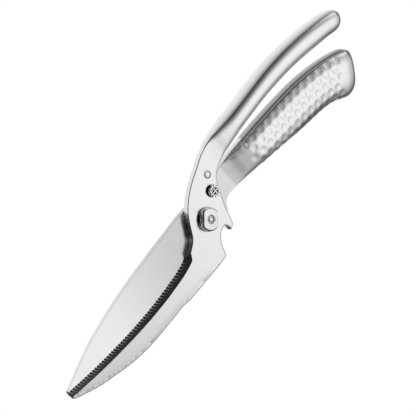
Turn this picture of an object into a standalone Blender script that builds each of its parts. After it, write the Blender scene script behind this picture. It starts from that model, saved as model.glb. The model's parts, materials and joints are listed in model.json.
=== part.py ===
"""Poultry shears, closed.

Frame: the origin is at the centre of the pivot rivet's flat front end. +Z runs along the pivot axis, out of
the front plate. The blades point to -X and the handles to +X. The upper handle and the upper blade lie on
the +Y side. The lists and heights below are in millimetres from the contact plane, where the two plates
face each other. MM scales them, and shears_frame moves the finished pieces down to the origin.
"""

import math

import bmesh
import bpy
from mathutils import Matrix, Vector

MM = 0.001

# ---------------------------------------------------------------- driving dimensions, in millimetres
PLATE_FACE = 4.2  # outer face of each plate, from the contact plane
PLATE_GAP = 0.15  # half the gap between the two plates
TIP_FACE = 2.5  # outer face of each blade at its tip, after the taper
TAPER_START_X = -43.3
TIP_X = -131.0
EDGE_LAND = 0.2  # flat left on the cutting edge
EDGE_CLEAR = 0.06  # how far the grinding wedge starts outside the edge
BEVEL_WIDTH = 2.8  # in-plane width of the ground bevel
BEVEL_START_X = -19.0

GRIP_HALF = 7.75  # half the thickness of both handles
GRIP_WALL = 1.3
SEAM_X = 47.0  # where each hollow handle meets its blade's shoulder
SEAM_GAP = 0.06

PIVOT = (-1.5, 1.6)  # the pivot axis in the outlines' own axes
RECESS_R = 6.7
RECESS_FLOOR = 2.6
BARREL_R = 3.5
BARREL_CLEARANCE = 0.1
HEAD_R = 6.5
HEAD_HALF_FLATS = 5.0
HEAD_FLATS_ANGLE = math.radians(-46.5)
HEAD_TOP = 8.2
RIVET_TOP = 8.3  # flat front end of the pivot rivet: the origin's height above the contact plane
RIVET_R = 2.2
RIVET_FIT = 0.05  # clearance between the rivet and the pieces it holds
RIVET_DOME = 0.9  # height of the rivet's front dome before it is dressed flat
HEAD_STAND_OFF = 0.35  # room under the head for the front washer
FLANGE_R = 6.4
REAR_FLANGE = (-6.0, -4.55)

SPRING_POCKET_R = 5.3
SPRING_POCKET_FLOOR = -2.9
SPRING_R = 4.4
SPRING_WIRE_R = 0.4
SPRING_TURNS = 2.0
POST_RADIUS = 6.7
POST_R = 0.9
POST_FIT = 0.04
POST_Z = (-1.9, 1.7)
POST_ANGLE = math.radians(62.0)
GROOVE_WALL = 0.35
GROOVE_FLOOR = -2.2

OPEN_ANGLE = math.radians(40.0)

CATCH_PIVOT = (16.2, 18.3)
KNOB = (12.3, 9.6)
NOSE = (12.6, 6.2)
CATCH_SWING = math.radians(-16.0)
CATCH_FACES = (0.4, 1.4)
CATCH_END_R = 3.0  # catch's outline round its rivet, round the knob and at the nose
CATCH_MIDDLE_R = 2.9
CATCH_NOSE_R = 1.75
CATCH_ROOM = 0.5  # room round the catch in its pocket
CATCH_RIVET_R = 2.05
CATCH_RIVET_BARREL_R = 1.75
CATCH_RIVET_HEAD_R = 2.5
KNOB_SCREW_R = 1.1
POCKET_CEILING = 1.75
NOSE_PIN_R = 1.1
KNOB_NECK_R = 1.8
SLOT_HALF = 3.3
SLOT_TRAVEL = 1.4
SLOT_ANGLE = math.radians(-46.5)

# ---------------------------------------------------------------- outlines: (x, y, "s" smooth or "c" corner)
FRONT_EDGE = [
    (-16.3, 0.6, "s"),
    (-19.2, -1.4, "s"),
    (-24.5, -3.9, "s"),
    (-31.0, -5.5, "s"),
    (-42.0, -6.5, "s"),
    (-58.0, -7.0, "s"),
    (-74.0, -6.5, "s"),
    (-92.0, -5.1, "s"),
    (-111.0, -2.9, "s"),
    (-130.4, 0.2, "c"),
]
FRONT_BACK = [
    (TIP_X, -3.9, "s"),
    (-129.4, -5.0, "s"),
    (-123.4, -7.6, "s"),
    (-115.0, -10.9, "s"),
    (-104.0, -14.3, "s"),
    (-93.0, -17.2, "s"),
    (-80.0, -19.3, "s"),
    (-65.0, -20.0, "s"),
    (-46.0, -20.0, "c"),
    (-40.5, -21.0, "c"),
    (-7.4, -21.0, "s"),
    (-6.4, -19.8, "s"),
    (-5.6, -16.9, "s"),
    (-3.6, -13.4, "s"),
    (-1.0, -10.6, "s"),
    (1.6, -9.3, "s"),
    (4.2, -9.2, "s"),
    (5.1, -10.6, "s"),
    (5.5, -13.7, "c"),
    (8.3, -12.2, "s"),
    (9.6, -9.6, "s"),
    (10.4, -6.6, "s"),
    (12.2, -1.3, "s"),
    (15.3, 5.6, "s"),
    (18.3, 11.4, "s"),
    (21.2, 14.4, "s"),
    (25.4, 16.3, "s"),
    (30.0, 17.6, "c"),
]
FRONT_TOP = [
    (30.0, 30.3, "c"),
    (25.0, 30.0, "s"),
    (19.4, 28.1, "s"),
    (12.6, 25.3, "s"),
    (6.4, 22.8, "s"),
    (-0.8, 18.8, "s"),
    (-6.6, 14.2, "s"),
    (-10.4, 9.6, "s"),
    (-13.3, 4.9, "s"),
]
FRONT_OUTLINE = FRONT_EDGE + FRONT_BACK + FRONT_TOP

REAR_EDGE = [
    (-9.0, -8.3, "s"),
    (-17.0, -9.0, "s"),
    (-30.0, -9.3, "s"),
    (-45.0, -9.6, "s"),
    (-62.0, -9.7, "s"),
    (-80.0, -9.0, "s"),
    (-100.0, -7.2, "s"),
    (-128.9, -4.3, "c"),
]
REAR_SPINE = [
    (-130.6, -2.6, "c"),
    (-130.2, 0.9, "c"),
    (-121.0, 3.3, "s"),
    (-107.0, 7.1, "s"),
    (-92.0, 9.8, "s"),
    (-76.0, 11.7, "s"),
    (-61.0, 12.7, "s"),
    (-45.0, 13.3, "s"),
    (-22.0, 13.7, "s"),
    (-6.0, 13.7, "s"),
    (-2.4, 12.9, "s"),
]
REAR_NECK_TOP = [
    (12.9, 4.0, "s"),
    (14.6, 6.0, "s"),
    (16.6, 9.6, "s"),
    (19.6, 12.2, "s"),
    (24.0, 13.3, "s"),
    (30.0, 13.6, "c"),
]
REAR_NECK_BOTTOM = [
    (30.0, -2.0, "c"),
    (23.0, -1.3, "s"),
    (18.4, -1.5, "s"),
    (15.5, -3.2, "s"),
    (13.6, -6.2, "s"),
    (11.2, -7.3, "s"),
    (9.0, -6.6, "s"),
]
HUB_R = 8.6  # lower side of the rear hub, from the pivot
HUB_ARC = (-52, -110, -9)  # degrees along that side: start, stop, step
RELIEF_R = 10.6  # upper side of the rear hub, clear of the nose pin when the shears are open
RELIEF_ARC = (89, 65, -6)
TOOTH_R = 12.4  # tip of the lock tooth
TOOTH_ARC = (58, 45, -4)
NOTCH = [(8.3, 6.9, "s"), (9.8, 4.6, "s")]

# ---------------------------------------------------------------- handle stations
# (x top, y top, x bottom, y bottom, low face z, high face z, squareness)
UPPER_STATIONS = [
    (20.0, 27.9, 20.0, 13.9, 0.4, 4.0, 9.0),
    (26.0, 30.0, 26.0, 16.8, -0.6, 4.25, 8.0),
    (32.0, 30.7, 32.0, 17.7, -3.1, 4.9, 4.2),
    (38.0, 30.9, 38.0, 18.3, -5.6, 6.1, 3.4),
    (SEAM_X, 31.0, SEAM_X, 19.0, -7.4, 7.3, 2.6),
    (58.0, 31.2, 58.0, 19.6, -GRIP_HALF, GRIP_HALF, 2.6),
    (70.0, 31.5, 70.0, 19.9, -GRIP_HALF, GRIP_HALF, 2.6),
    (83.2, 31.6, 81.8, 19.5, -GRIP_HALF, GRIP_HALF, 2.6),
    (96.3, 30.8, 93.7, 18.5, -GRIP_HALF, GRIP_HALF, 2.6),
    (108.5, 29.1, 104.5, 16.9, -7.6, 7.6, 2.6),
    (119.6, 26.9, 114.4, 14.9, -7.4, 7.4, 2.6),
    (129.7, 24.2, 123.8, 12.9, -7.1, 7.1, 2.5),
    (136.2, 21.8, 131.0, 11.1, -6.6, 6.6, 2.5),
    (139.1, 19.3, 135.1, 11.6, -5.4, 5.4, 2.4),
    (139.6, 17.1, 137.8, 13.7, -3.0, 3.0, 2.2),
]
LOWER_STATIONS = [
    (20.0, 12.0, 20.0, -1.0, -4.0, -0.4, 9.0),
    (26.0, 13.4, 26.0, -1.5, -4.3, 0.0, 8.0),
    (32.0, 14.0, 32.0, -2.4, -5.2, 1.5, 5.0),
    (38.0, 14.5, 38.0, -3.2, -6.3, 3.8, 3.4),
    (SEAM_X, 14.8, SEAM_X, -4.5, -7.3, 6.6, 2.8),
    (57.1, 14.7, 54.9, -5.9, -GRIP_HALF, GRIP_HALF, 2.6),
    (68.1, 14.1, 64.9, -7.7, -GRIP_HALF, GRIP_HALF, 2.6),
    (80.2, 13.2, 75.8, -9.7, -GRIP_HALF, GRIP_HALF, 2.6),
    (92.2, 11.9, 85.8, -11.2, -GRIP_HALF, GRIP_HALF, 2.6),
    (104.4, 9.5, 94.6, -12.6, -GRIP_HALF, GRIP_HALF, 2.6),
    (114.5, 6.7, 101.5, -14.8, -GRIP_HALF, GRIP_HALF, 2.6),
    (121.5, 4.1, 106.5, -17.4, -7.6, 7.6, 2.6),
    (126.5, 1.6, 111.1, -19.6, -7.2, 7.2, 2.6),
    (129.2, -1.7, 116.6, -19.1, -5.8, 5.8, 2.5),
    (128.6, -4.5, 121.4, -15.1, -2.8, 2.8, 2.2),
]
# side of the handle that the liner closes, its depth, its share of the handle's half thickness, its end
UPPER_LINER = {"side": "bottom", "depth": 2.4, "share": 0.86, "stop": 0.88}
LOWER_LINER = {"side": "top", "depth": 3.4, "share": 0.66, "stop": 0.86}
UPPER_TANG = [(44.0, 23.4), (44.0, 26.9), (90.0, 27.4), (90.0, 23.0)]
LOWER_TANG = [(44.0, 0.6), (44.0, 9.8), (96.0, 5.6), (96.0, -4.6)]
FRONT_TANG_Z = (0.4, 4.0)
REAR_TANG_Z = (-4.0, -0.4)
UPPER_SPACER = (60.0, 74.0, 23.6, 27.2)
LOWER_SPACER = (60.0, 76.0, -0.2, 7.8)
SPACER_Z = 5.8

RING_POINTS = 20
RINGS_PER_STATION = 2
ROUND_SEGMENTS = 36

STEEL = (0.80, 0.80, 0.79, 1.0)
DARK_STEEL = (0.55, 0.55, 0.55, 1.0)


# ---------------------------------------------------------------- scene set-up and helpers
def clear_scene():
    for obj in list(bpy.data.objects):
        bpy.data.objects.remove(obj, do_unlink=True)


def new_collection(name):
    collection = bpy.data.collections.new(name)
    bpy.context.scene.collection.children.link(collection)
    return collection


def steel(name, color, roughness):
    material = bpy.data.materials.new(name)
    material.use_nodes = True
    shader = material.node_tree.nodes["Principled BSDF"]
    shader.inputs["Base Color"].default_value = color
    shader.inputs["Metallic"].default_value = 1.0
    shader.inputs["Roughness"].default_value = roughness
    return material


def polar(radius, angle):
    return (radius * math.cos(angle), radius * math.sin(angle))


def round_pivot(radius, angle):
    """A spot at a radius and angle from the pivot axis."""
    x, y = polar(radius, angle)
    return PIVOT[0] + x, PIVOT[1] + y


def arc_knots(radius, degrees):
    start, stop, step = degrees
    return [(*polar(radius, math.radians(a)), "s") for a in range(start, stop - 1, step)]


def swung(point, angle):
    """A point of the catch after it has turned about the catch rivet."""
    dx, dy = point[0] - CATCH_PIVOT[0], point[1] - CATCH_PIVOT[1]
    c, s = math.cos(angle), math.sin(angle)
    return (CATCH_PIVOT[0] + c * dx - s * dy, CATCH_PIVOT[1] + s * dx + c * dy)


def add_object(name, mesh, collection):
    obj = bpy.data.objects.new(name, mesh)
    collection.objects.link(obj)
    return obj


def mesh_from_curve(curve, name, collection):
    """Turn a curve into a mesh object with its caps welded, and drop the curve."""
    holder = bpy.data.objects.new(name + "_curve", curve)
    bpy.context.scene.collection.objects.link(holder)
    bpy.context.view_layer.update()
    evaluated = holder.evaluated_get(bpy.context.evaluated_depsgraph_get())
    mesh = bpy.data.meshes.new_from_object(evaluated)
    mesh.name = name
    bpy.data.objects.remove(holder, do_unlink=True)
    bm = bmesh.new()
    bm.from_mesh(mesh)
    bmesh.ops.remove_doubles(bm, verts=bm.verts, dist=0.00001)
    bmesh.ops.recalc_face_normals(bm, faces=bm.faces)
    bm.to_mesh(mesh)
    bm.free()
    return add_object(name, mesh, collection)


def plate(name, knots, z_low, z_high, collection, resolution=3):
    """A flat piece from an outline of smooth and corner knots."""
    curve = bpy.data.curves.new(name, "CURVE")
    curve.dimensions = "2D"
    curve.fill_mode = "BOTH"
    curve.resolution_u = resolution
    curve.extrude = (z_high - z_low) / 2 * MM
    spline = curve.splines.new("BEZIER")
    spline.bezier_points.add(len(knots) - 1)
    for point, (x, y, kind) in zip(spline.bezier_points, knots):
        point.co = (x * MM, y * MM, 0.0)
        handle = "AUTO" if kind == "s" else "VECTOR"
        point.handle_left_type = handle
        point.handle_right_type = handle
    spline.use_cyclic_u = True
    obj = mesh_from_curve(curve, name, collection)
    obj.data.transform(shift(0.0, 0.0, (z_low + z_high) / 2))
    return obj


def shift(x, y, z):
    return Matrix.Translation((x * MM, y * MM, z * MM))


def turned(name, profile, collection, at=(0.0, 0.0), segments=ROUND_SEGMENTS, closed=False):
    """A turned piece: the profile of (radius, z) runs down its outer side."""
    bm = bmesh.new()
    verts = [bm.verts.new((r * MM, 0.0, z * MM)) for r, z in profile]
    for a, b in zip(verts, verts[1:]):
        bm.edges.new((a, b))
    if closed:
        bm.edges.new((verts[-1], verts[0]))
    mesh = bpy.data.meshes.new(name)
    bm.to_mesh(mesh)
    bm.free()
    obj = add_object(name, mesh, collection)
    obj.location = (at[0] * MM, at[1] * MM, 0.0)
    screw = obj.modifiers.new("Turn", "SCREW")
    screw.steps = segments
    screw.render_steps = segments
    screw.use_merge_vertices = True
    screw.merge_threshold = 0.00001
    screw.use_smooth_shade = True
    return obj


def cylinder(name, at, radius, z_low, z_high, collection, segments=ROUND_SEGMENTS):
    bm = bmesh.new()
    bmesh.ops.create_cone(
        bm,
        cap_ends=True,
        segments=segments,
        radius1=radius * MM,
        radius2=radius * MM,
        depth=(z_high - z_low) * MM,
    )
    mesh = bpy.data.meshes.new(name)
    bm.to_mesh(mesh)
    bm.free()
    mesh.transform(shift(at[0], at[1], (z_low + z_high) / 2))
    return add_object(name, mesh, collection)


def block(name, low, high, collection):
    bm = bmesh.new()
    bmesh.ops.create_cube(bm, size=1.0)
    for vert in bm.verts:
        for axis in range(3):
            vert.co[axis] = (high[axis] if vert.co[axis] > 0 else low[axis]) * MM
    mesh = bpy.data.meshes.new(name)
    bm.to_mesh(mesh)
    bm.free()
    return add_object(name, mesh, collection)


def loft(name, rings, collection):
    """A closed body through rings of equal point count, with a flat cap at each end."""
    bm = bmesh.new()
    loops = [[bm.verts.new(Vector(p) * MM) for p in ring] for ring in rings]
    count = len(loops[0])
    for near, far in zip(loops, loops[1:]):
        for i in range(count):
            j = (i + 1) % count
            bm.faces.new((near[i], near[j], far[j], far[i]))
    bm.faces.new(loops[0])
    bm.faces.new(loops[-1])
    bmesh.ops.recalc_face_normals(bm, faces=bm.faces)
    mesh = bpy.data.meshes.new(name)
    bm.to_mesh(mesh)
    bm.free()
    mesh.shade_smooth()
    mesh.set_sharp_from_angle(angle=math.radians(30))
    return add_object(name, mesh, collection)


def boolean(obj, tool, operation="DIFFERENCE"):
    modifier = obj.modifiers.new(tool.name, "BOOLEAN")
    modifier.operation = operation
    modifier.solver = "EXACT"
    modifier.object = tool
    return obj


def catmull_rom(values, t):
    """Smooth value through a list of equally spaced tuples; t runs from 0 to len - 1."""
    last = len(values) - 1
    i = min(int(t), last - 1)
    f = t - i
    p1, p2 = values[i], values[i + 1]
    p0 = values[i - 1] if i > 0 else tuple(2 * a - b for a, b in zip(p1, p2))
    p3 = values[i + 2] if i + 2 <= last else tuple(2 * b - a for a, b in zip(p1, p2))
    return tuple(
        b + 0.5 * f * (c - a + f * (2 * a - 5 * b + 4 * c - d + f * (3 * (b - c) + d - a)))
        for a, b, c, d in zip(p0, p1, p2, p3)
    )


# ---------------------------------------------------------------- handles
def section(station, inset=0.0):
    """A rounded-square ring across the handle at one station, pulled in by inset."""
    xt, yt, xb, yb, z_low, z_high, power = station
    top, bottom = Vector((xt, yt)), Vector((xb, yb))
    middle = (top + bottom) / 2
    across = (top - bottom).normalized()
    half = max((top - bottom).length / 2 - inset, 0.2)
    half_z = max((z_high - z_low) / 2 - inset, 0.2)
    z_mid = (z_high + z_low) / 2
    ring = []
    for k in range(RING_POINTS):
        a = 2 * math.pi * (k + 0.5) / RING_POINTS
        c, s = math.cos(a), math.sin(a)
        u = half * math.copysign(abs(c) ** (2 / power), c)
        w = half_z * math.copysign(abs(s) ** (2 / power), s)
        ring.append((middle.x + across.x * u, middle.y + across.y * u, z_mid + w))
    return ring


def seam_index(stations):
    return next(i for i, s in enumerate(stations) if s[0] == SEAM_X)


def station_run(stations, start, stop):
    steps = max(2, round((stop - start) * RINGS_PER_STATION))
    return [catmull_rom(stations, start + (stop - start) * i / steps) for i in range(steps + 1)]


def shoulder(name, stations, collection):
    """The solid that swells from the plate to the handle's full section."""
    run = station_run(stations, 0.0, float(seam_index(stations)))
    return loft(name, [section(s) for s in run], collection)


def liner_strip(name, stations, liner, grow, parts_start, collection):
    """A bar along one side of the handle, used to part the liner from the shell."""
    stop = liner["stop"] * (len(stations) - 1)
    rings = []
    for xt, yt, xb, yb, _low, high, _power in station_run(stations, parts_start, stop + grow * 0.02):
        top, bottom = Vector((xt, yt)), Vector((xb, yb))
        across = (top - bottom).normalized()
        if liner["side"] == "top":
            inner, outer = top - across * (liner["depth"] + grow), top + across * 4.0
        else:
            inner, outer = bottom + across * (liner["depth"] + grow), bottom - across * 4.0
        z = high * liner["share"] + grow
        rings.append([(*inner, -z), (*inner, z), (*outer, z), (*outer, -z)])
    return loft(name, rings, collection)


def grip(prefix, stations, liner, parts, tools):
    """Shell and liner of one hollow handle."""
    first = float(seam_index(stations))
    last = float(len(stations) - 1)
    mouth = first + SEAM_GAP / (stations[seam_index(stations) + 1][0] - SEAM_X)
    outer_run = station_run(stations, mouth, last)
    inner_run = station_run(stations, first - 0.4, last - 1.6)
    cavity = loft(prefix + "_cavity", [section(s, GRIP_WALL) for s in inner_run], tools)
    wide = liner_strip(prefix + "_strip_cut", stations, liner, 0.05, first - 0.5, tools)
    narrow = liner_strip(prefix + "_strip_keep", stations, liner, -0.05, first - 0.5, tools)
    shell = loft(prefix + "_shell", [section(s) for s in outer_run], parts)
    boolean(shell, cavity)
    boolean(shell, wide)
    strip = loft(prefix + "_liner", [section(s) for s in outer_run], parts)
    boolean(strip, cavity)
    boolean(strip, narrow, "INTERSECT")
    return shell, strip


def tang(name, corners, faces, tools):
    return plate(name, [(x, y, "c") for x, y in corners], *faces, tools)


# ---------------------------------------------------------------- blades
def edge_bevel(name, edge, direction, collection):
    """A wedge along a cutting edge that grinds one face down to the edge.

    direction is +1 when the ground face is on +Z and the steel lies on the -Y side of the edge.
    """
    knots = [(x, y) for x, y, _kind in edge if x <= BEVEL_START_X]
    beyond = (2 * knots[-1][0] - knots[-2][0], 2 * knots[-1][1] - knots[-2][1])
    knots = knots + [beyond]
    count = (len(knots) - 1) * 4
    path = [catmull_rom(knots, i / 4) for i in range(count + 1)]
    rings = []
    for i, (x, y) in enumerate(path):
        before, after = path[max(i - 1, 0)], path[min(i + 1, count)]
        along = (Vector(after) - Vector(before)).normalized()
        inward = Vector((-along.y, along.x)) * direction
        grow = min(1.0, 0.25 + i / 6)
        low = (PLATE_GAP + EDGE_LAND) * direction
        high = (PLATE_FACE + 1.0) * direction
        reach = BEVEL_WIDTH * grow * (PLATE_FACE + 1.0) / PLATE_FACE
        ridge = Vector((x, y)) + inward * reach
        outside = Vector((x, y)) - inward * 4.0
        edge_point = Vector((x, y)) - inward * EDGE_CLEAR
        rings.append([(*edge_point, low), (*ridge, high), (*outside, high), (*outside, low)])
    return loft(name, rings, collection)


def taper_cut(name, direction, collection):
    """A wedge that thins a blade's outer face from TAPER_START_X to the tip."""
    slope = (PLATE_FACE - TIP_FACE) / (TAPER_START_X - TIP_X)
    rings = []
    for x in (TAPER_START_X + 10.0, TIP_X - 10.0):
        face = (PLATE_FACE + slope * (x - TAPER_START_X)) * direction
        clear = (PLATE_FACE + 2.0) * direction
        rings.append([(x, -40.0, face), (x, 40.0, face), (x, 40.0, clear), (x, -40.0, clear)])
    return loft(name, rings, collection)


def catch_outline(grow):
    """Rounded bar from the catch rivet past the knob to the nose."""
    spots = [(CATCH_PIVOT, CATCH_END_R + grow), (KNOB, CATCH_MIDDLE_R + grow), (NOSE, CATCH_NOSE_R + grow)]
    knots = []
    for side in (1, -1):
        ordered = spots if side == 1 else spots[::-1]
        for i, (spot, radius) in enumerate(ordered):
            a = Vector(ordered[max(i - 1, 0)][0])
            b = Vector(ordered[min(i + 1, 2)][0])
            along = (b - a).normalized()
            normal = Vector((-along.y, along.x))
            place = Vector(spot) + normal * radius
            knots.append((place.x, place.y, "s"))
            if i == 2:
                end = Vector(spot) + along * radius
                knots.append((end.x, end.y, "s"))
    return knots


def catch_pocket(tools):
    """The hollow behind the front plate that the catch swings in."""
    knots = catch_outline(CATCH_ROOM)
    pocket = plate("catch_pocket", knots, -1.0, POCKET_CEILING, tools, 2)
    for i in (1, 2):
        turned_knots = [(*swung((x, y), CATCH_SWING * i / 2), kind) for x, y, kind in knots]
        boolean(pocket, plate(f"catch_pocket_{i}", turned_knots, -1.0, POCKET_CEILING, tools, 2), "UNION")
    return pocket


def knob_slot(tools):
    along = Vector(polar(1.0, SLOT_ANGLE))
    centre = Vector(KNOB) - along * SLOT_TRAVEL / 2
    knots = []
    for end in (1, -1):
        middle = centre + along * end * SLOT_TRAVEL / 2
        for k in range(7):
            a = SLOT_ANGLE + (0 if end == 1 else math.pi) + math.radians(-90 + 30 * k)
            knots.append((middle.x + SLOT_HALF * math.cos(a), middle.y + SLOT_HALF * math.sin(a), "s"))
    return plate("knob_slot", knots, -1.0, PLATE_FACE + 1.0, tools, 2)


def front_blade(parts, tools):
    obj = plate("front_blade", FRONT_OUTLINE, PLATE_GAP, PLATE_FACE, parts)
    boolean(obj, shoulder("front_shoulder", UPPER_STATIONS, tools), "UNION")
    boolean(obj, tang("front_tang", UPPER_TANG, FRONT_TANG_Z, tools), "UNION")
    boolean(obj, cylinder("pivot_recess", PIVOT, RECESS_R, RECESS_FLOOR, PLATE_FACE + 1, tools))
    hole = cylinder("front_bore", PIVOT, BARREL_R + BARREL_CLEARANCE, -1, PLATE_FACE, tools)
    boolean(obj, hole)
    boolean(obj, catch_pocket(tools))
    boolean(obj, knob_slot(tools))
    boolean(obj, cylinder("catch_rivet_hole", CATCH_PIVOT, CATCH_RIVET_R + 0.05, 1.0, 6.0, tools, 32))
    post_at = round_pivot(POST_RADIUS, POST_ANGLE)
    boolean(obj, cylinder("post_hole", post_at, POST_R + POST_FIT, -1.0, POST_Z[1] + 0.2, tools, 24))
    boolean(obj, taper_cut("front_taper", 1, tools))
    boolean(obj, edge_bevel("front_bevel", FRONT_EDGE, 1, tools))
    return obj


def rear_outline():
    knots = list(REAR_EDGE) + list(REAR_SPINE)
    knots += arc_knots(RELIEF_R, RELIEF_ARC)
    knots += arc_knots(TOOTH_R, TOOTH_ARC)
    knots += NOTCH + REAR_NECK_TOP + REAR_NECK_BOTTOM
    knots += arc_knots(HUB_R, HUB_ARC)
    return knots


def pin_path(tools):
    """The way the nose pin takes into its notch."""
    radius = NOSE_PIN_R + 0.35
    path = cylinder("pin_path", NOSE, radius, -8.0, 3.0, tools, 24)
    for i in range(1, 5):
        spot = swung(NOSE, CATCH_SWING * i / 4)
        boolean(path, cylinder(f"pin_path_{i}", spot, radius, -8.0, 3.0, tools, 24), "UNION")
    return path


def spring_pocket(tools):
    """Round pocket for the coil with an arc groove for the stop post and the spring's long leg."""
    start = POST_ANGLE - math.radians(17.0)
    stop = POST_ANGLE + OPEN_ANGLE + math.asin((POST_R + GROOVE_WALL) / POST_RADIUS)
    outer = POST_RADIUS + POST_R + GROOVE_WALL
    count = 12
    angles = [start + (stop - start) * i / count for i in range(count + 1)]
    rim = [(*round_pivot(outer, a), "c") for a in angles]
    rim += [(*round_pivot(BARREL_R + 0.6, a), "c") for a in reversed(angles)]
    groove = plate("post_groove", rim, GROOVE_FLOOR, 1.0, tools)
    pocket = cylinder("spring_pocket", PIVOT, SPRING_POCKET_R, SPRING_POCKET_FLOOR, 1.0, tools)
    return boolean(pocket, groove, "UNION")


def rear_blade(parts, tools):
    obj = plate("rear_blade", rear_outline(), -PLATE_FACE, -PLATE_GAP, parts)
    boolean(obj, shoulder("rear_shoulder", LOWER_STATIONS, tools), "UNION")
    boolean(obj, tang("rear_tang", LOWER_TANG, REAR_TANG_Z, tools), "UNION")
    boolean(obj, pin_path(tools))
    boolean(obj, spring_pocket(tools))
    boolean(obj, cylinder("rear_bore", PIVOT, BARREL_R + 0.04, -PLATE_FACE - 1, 1, tools))
    boolean(obj, taper_cut("rear_taper", -1, tools))
    boolean(obj, edge_bevel("rear_bevel", REAR_EDGE, -1, tools))
    return obj


# ---------------------------------------------------------------- pivot
def pivot_stud(parts):
    low, high = REAR_FLANGE
    profile = [
        (RIVET_R + RIVET_FIT, RECESS_FLOOR),
        (BARREL_R, RECESS_FLOOR),
        (BARREL_R, high),
        (FLANGE_R, high),
        (FLANGE_R, low + 0.4),
        (FLANGE_R - 0.4, low),
        (RIVET_R + RIVET_FIT, low),
    ]
    return turned("pivot_stud", profile, parts, at=PIVOT, closed=True)


def pivot_head(parts, tools):
    profile = [
        (RIVET_R + RIVET_FIT, HEAD_TOP - 0.25),
        (HEAD_R - 0.7, HEAD_TOP),
        (HEAD_R - 0.25, HEAD_TOP - 0.15),
        (HEAD_R, HEAD_TOP - 0.5),
        (HEAD_R, RECESS_FLOOR + HEAD_STAND_OFF),
        (RIVET_R + RIVET_FIT, RECESS_FLOOR + HEAD_STAND_OFF),
    ]
    head = turned("pivot_head", profile, parts, at=PIVOT, closed=True)
    for side in (1, -1):
        inner, outer = HEAD_HALF_FLATS * side, 10.0 * side
        low = (min(inner, outer), -10.0, 0.0)
        high = (max(inner, outer), 10.0, 12.0)
        flat = block(f"head_flat_{'a' if side == 1 else 'b'}", low, high, tools)
        flat.rotation_euler.z = HEAD_FLATS_ANGLE
        flat.location.x, flat.location.y = PIVOT[0] * MM, PIVOT[1] * MM
        boolean(head, flat)
    return head


def pivot_rivet(parts, tools):
    """The clenched rivet through the stud. Its domed front end is dressed flat."""
    bottom = REAR_FLANGE[0]
    profile = [
        (0.0, RIVET_TOP + RIVET_DOME),
        (RIVET_R, RIVET_TOP - 0.25),
        (RIVET_R, bottom - 0.05),
        (RIVET_R + 1.1, bottom - 0.05),
        (RIVET_R + 0.8, bottom - 0.45),
        (0.0, bottom - 0.65),
    ]
    rivet = turned("pivot_rivet", profile, parts, at=PIVOT)
    x, y = PIVOT
    low, high = (x - 4, y - 4, RIVET_TOP), (x + 4, y + 4, RIVET_TOP + 3)
    return boolean(rivet, block("rivet_dressing", low, high, tools))


def ring_washer(name, inner, outer, z_low, z_high, parts, at=(0.0, 0.0)):
    profile = [(inner, z_high), (outer, z_high), (outer, z_low), (inner, z_low)]
    return turned(name, profile, parts, at=at, closed=True)


def torsion_spring(parts):
    """Two turns around the stud; the short leg is held in the rear plate, the long one on the post."""
    curve = bpy.data.curves.new("torsion_spring", "CURVE")
    curve.dimensions = "3D"
    curve.bevel_depth = SPRING_WIRE_R * MM
    curve.bevel_resolution = 2
    curve.use_fill_caps = True
    wire_gap = math.asin((POST_R + SPRING_WIRE_R + 0.12) / POST_RADIUS)
    leg_angle = POST_ANGLE - wire_gap
    z_start, z_end = -2.35, -0.75
    steps = 40
    coil = []
    for i in range(steps + 1):
        angle = leg_angle + 2 * math.pi * SPRING_TURNS * (i / steps - 1)
        z = z_start + (z_end - z_start) * i / steps
        coil.append((*round_pivot(SPRING_R, angle), z))
    long_leg = (*round_pivot(POST_RADIUS + 0.6, leg_angle), z_end)
    points = coil + [long_leg]
    spline = curve.splines.new("POLY")
    spline.points.add(len(points) - 1)
    for point, (x, y, z) in zip(spline.points, points):
        point.co = (x * MM, y * MM, z * MM, 1.0)
    return mesh_from_curve(curve, "torsion_spring", parts)


def stop_post(parts):
    return cylinder("stop_post", round_pivot(POST_RADIUS, POST_ANGLE), POST_R, *POST_Z, parts, 24)


# ---------------------------------------------------------------- lock
def lock_catch(parts, tools):
    low, high = CATCH_FACES
    obj = plate("lock_catch", catch_outline(0.0), low, high, parts, 2)
    boolean(obj, cylinder("catch_bore", CATCH_PIVOT, CATCH_RIVET_BARREL_R + 0.1, -1, 3, tools, 32))
    boolean(obj, cylinder("catch_screw_hole", KNOB, KNOB_SCREW_R, -1, 3, tools, 24))
    boolean(obj, cylinder("catch_pin_hole", NOSE, NOSE_PIN_R + 0.04, -1, 3, tools, 24))
    return obj


def catch_rivet(parts):
    profile = [
        (0.0, PLATE_FACE + 0.25),
        (1.4, PLATE_FACE + 0.15),
        (CATCH_RIVET_R, PLATE_FACE - 0.1),
        (CATCH_RIVET_R, POCKET_CEILING + 0.4),
        (CATCH_RIVET_BARREL_R, POCKET_CEILING + 0.1),
        (CATCH_RIVET_BARREL_R, 0.33),
        (CATCH_RIVET_HEAD_R, 0.33),
        (CATCH_RIVET_HEAD_R, 0.17),
        (0.0, 0.17),
    ]
    return turned("catch_rivet", profile, parts, at=CATCH_PIVOT, segments=32)


def lock_wave_washer(parts):
    washer = ring_washer("lock_wave_washer", 1.85, 2.7, 1.5, 1.65, parts, at=CATCH_PIVOT)
    return washer


def lock_knob(parts):
    face = PLATE_FACE + 2.1
    profile = [
        (1.15, face - 0.9),
        (2.2, face - 0.9),
        (2.2, face),
        (3.1, face),
        (3.45, face - 0.35),
        (3.45, PLATE_FACE + 0.35),
        (KNOB_NECK_R, PLATE_FACE + 0.25),
        (KNOB_NECK_R, CATCH_FACES[1] + 0.06),
        (1.15, CATCH_FACES[1] + 0.06),
    ]
    return turned("lock_knob", profile, parts, at=KNOB, closed=True)


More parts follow.
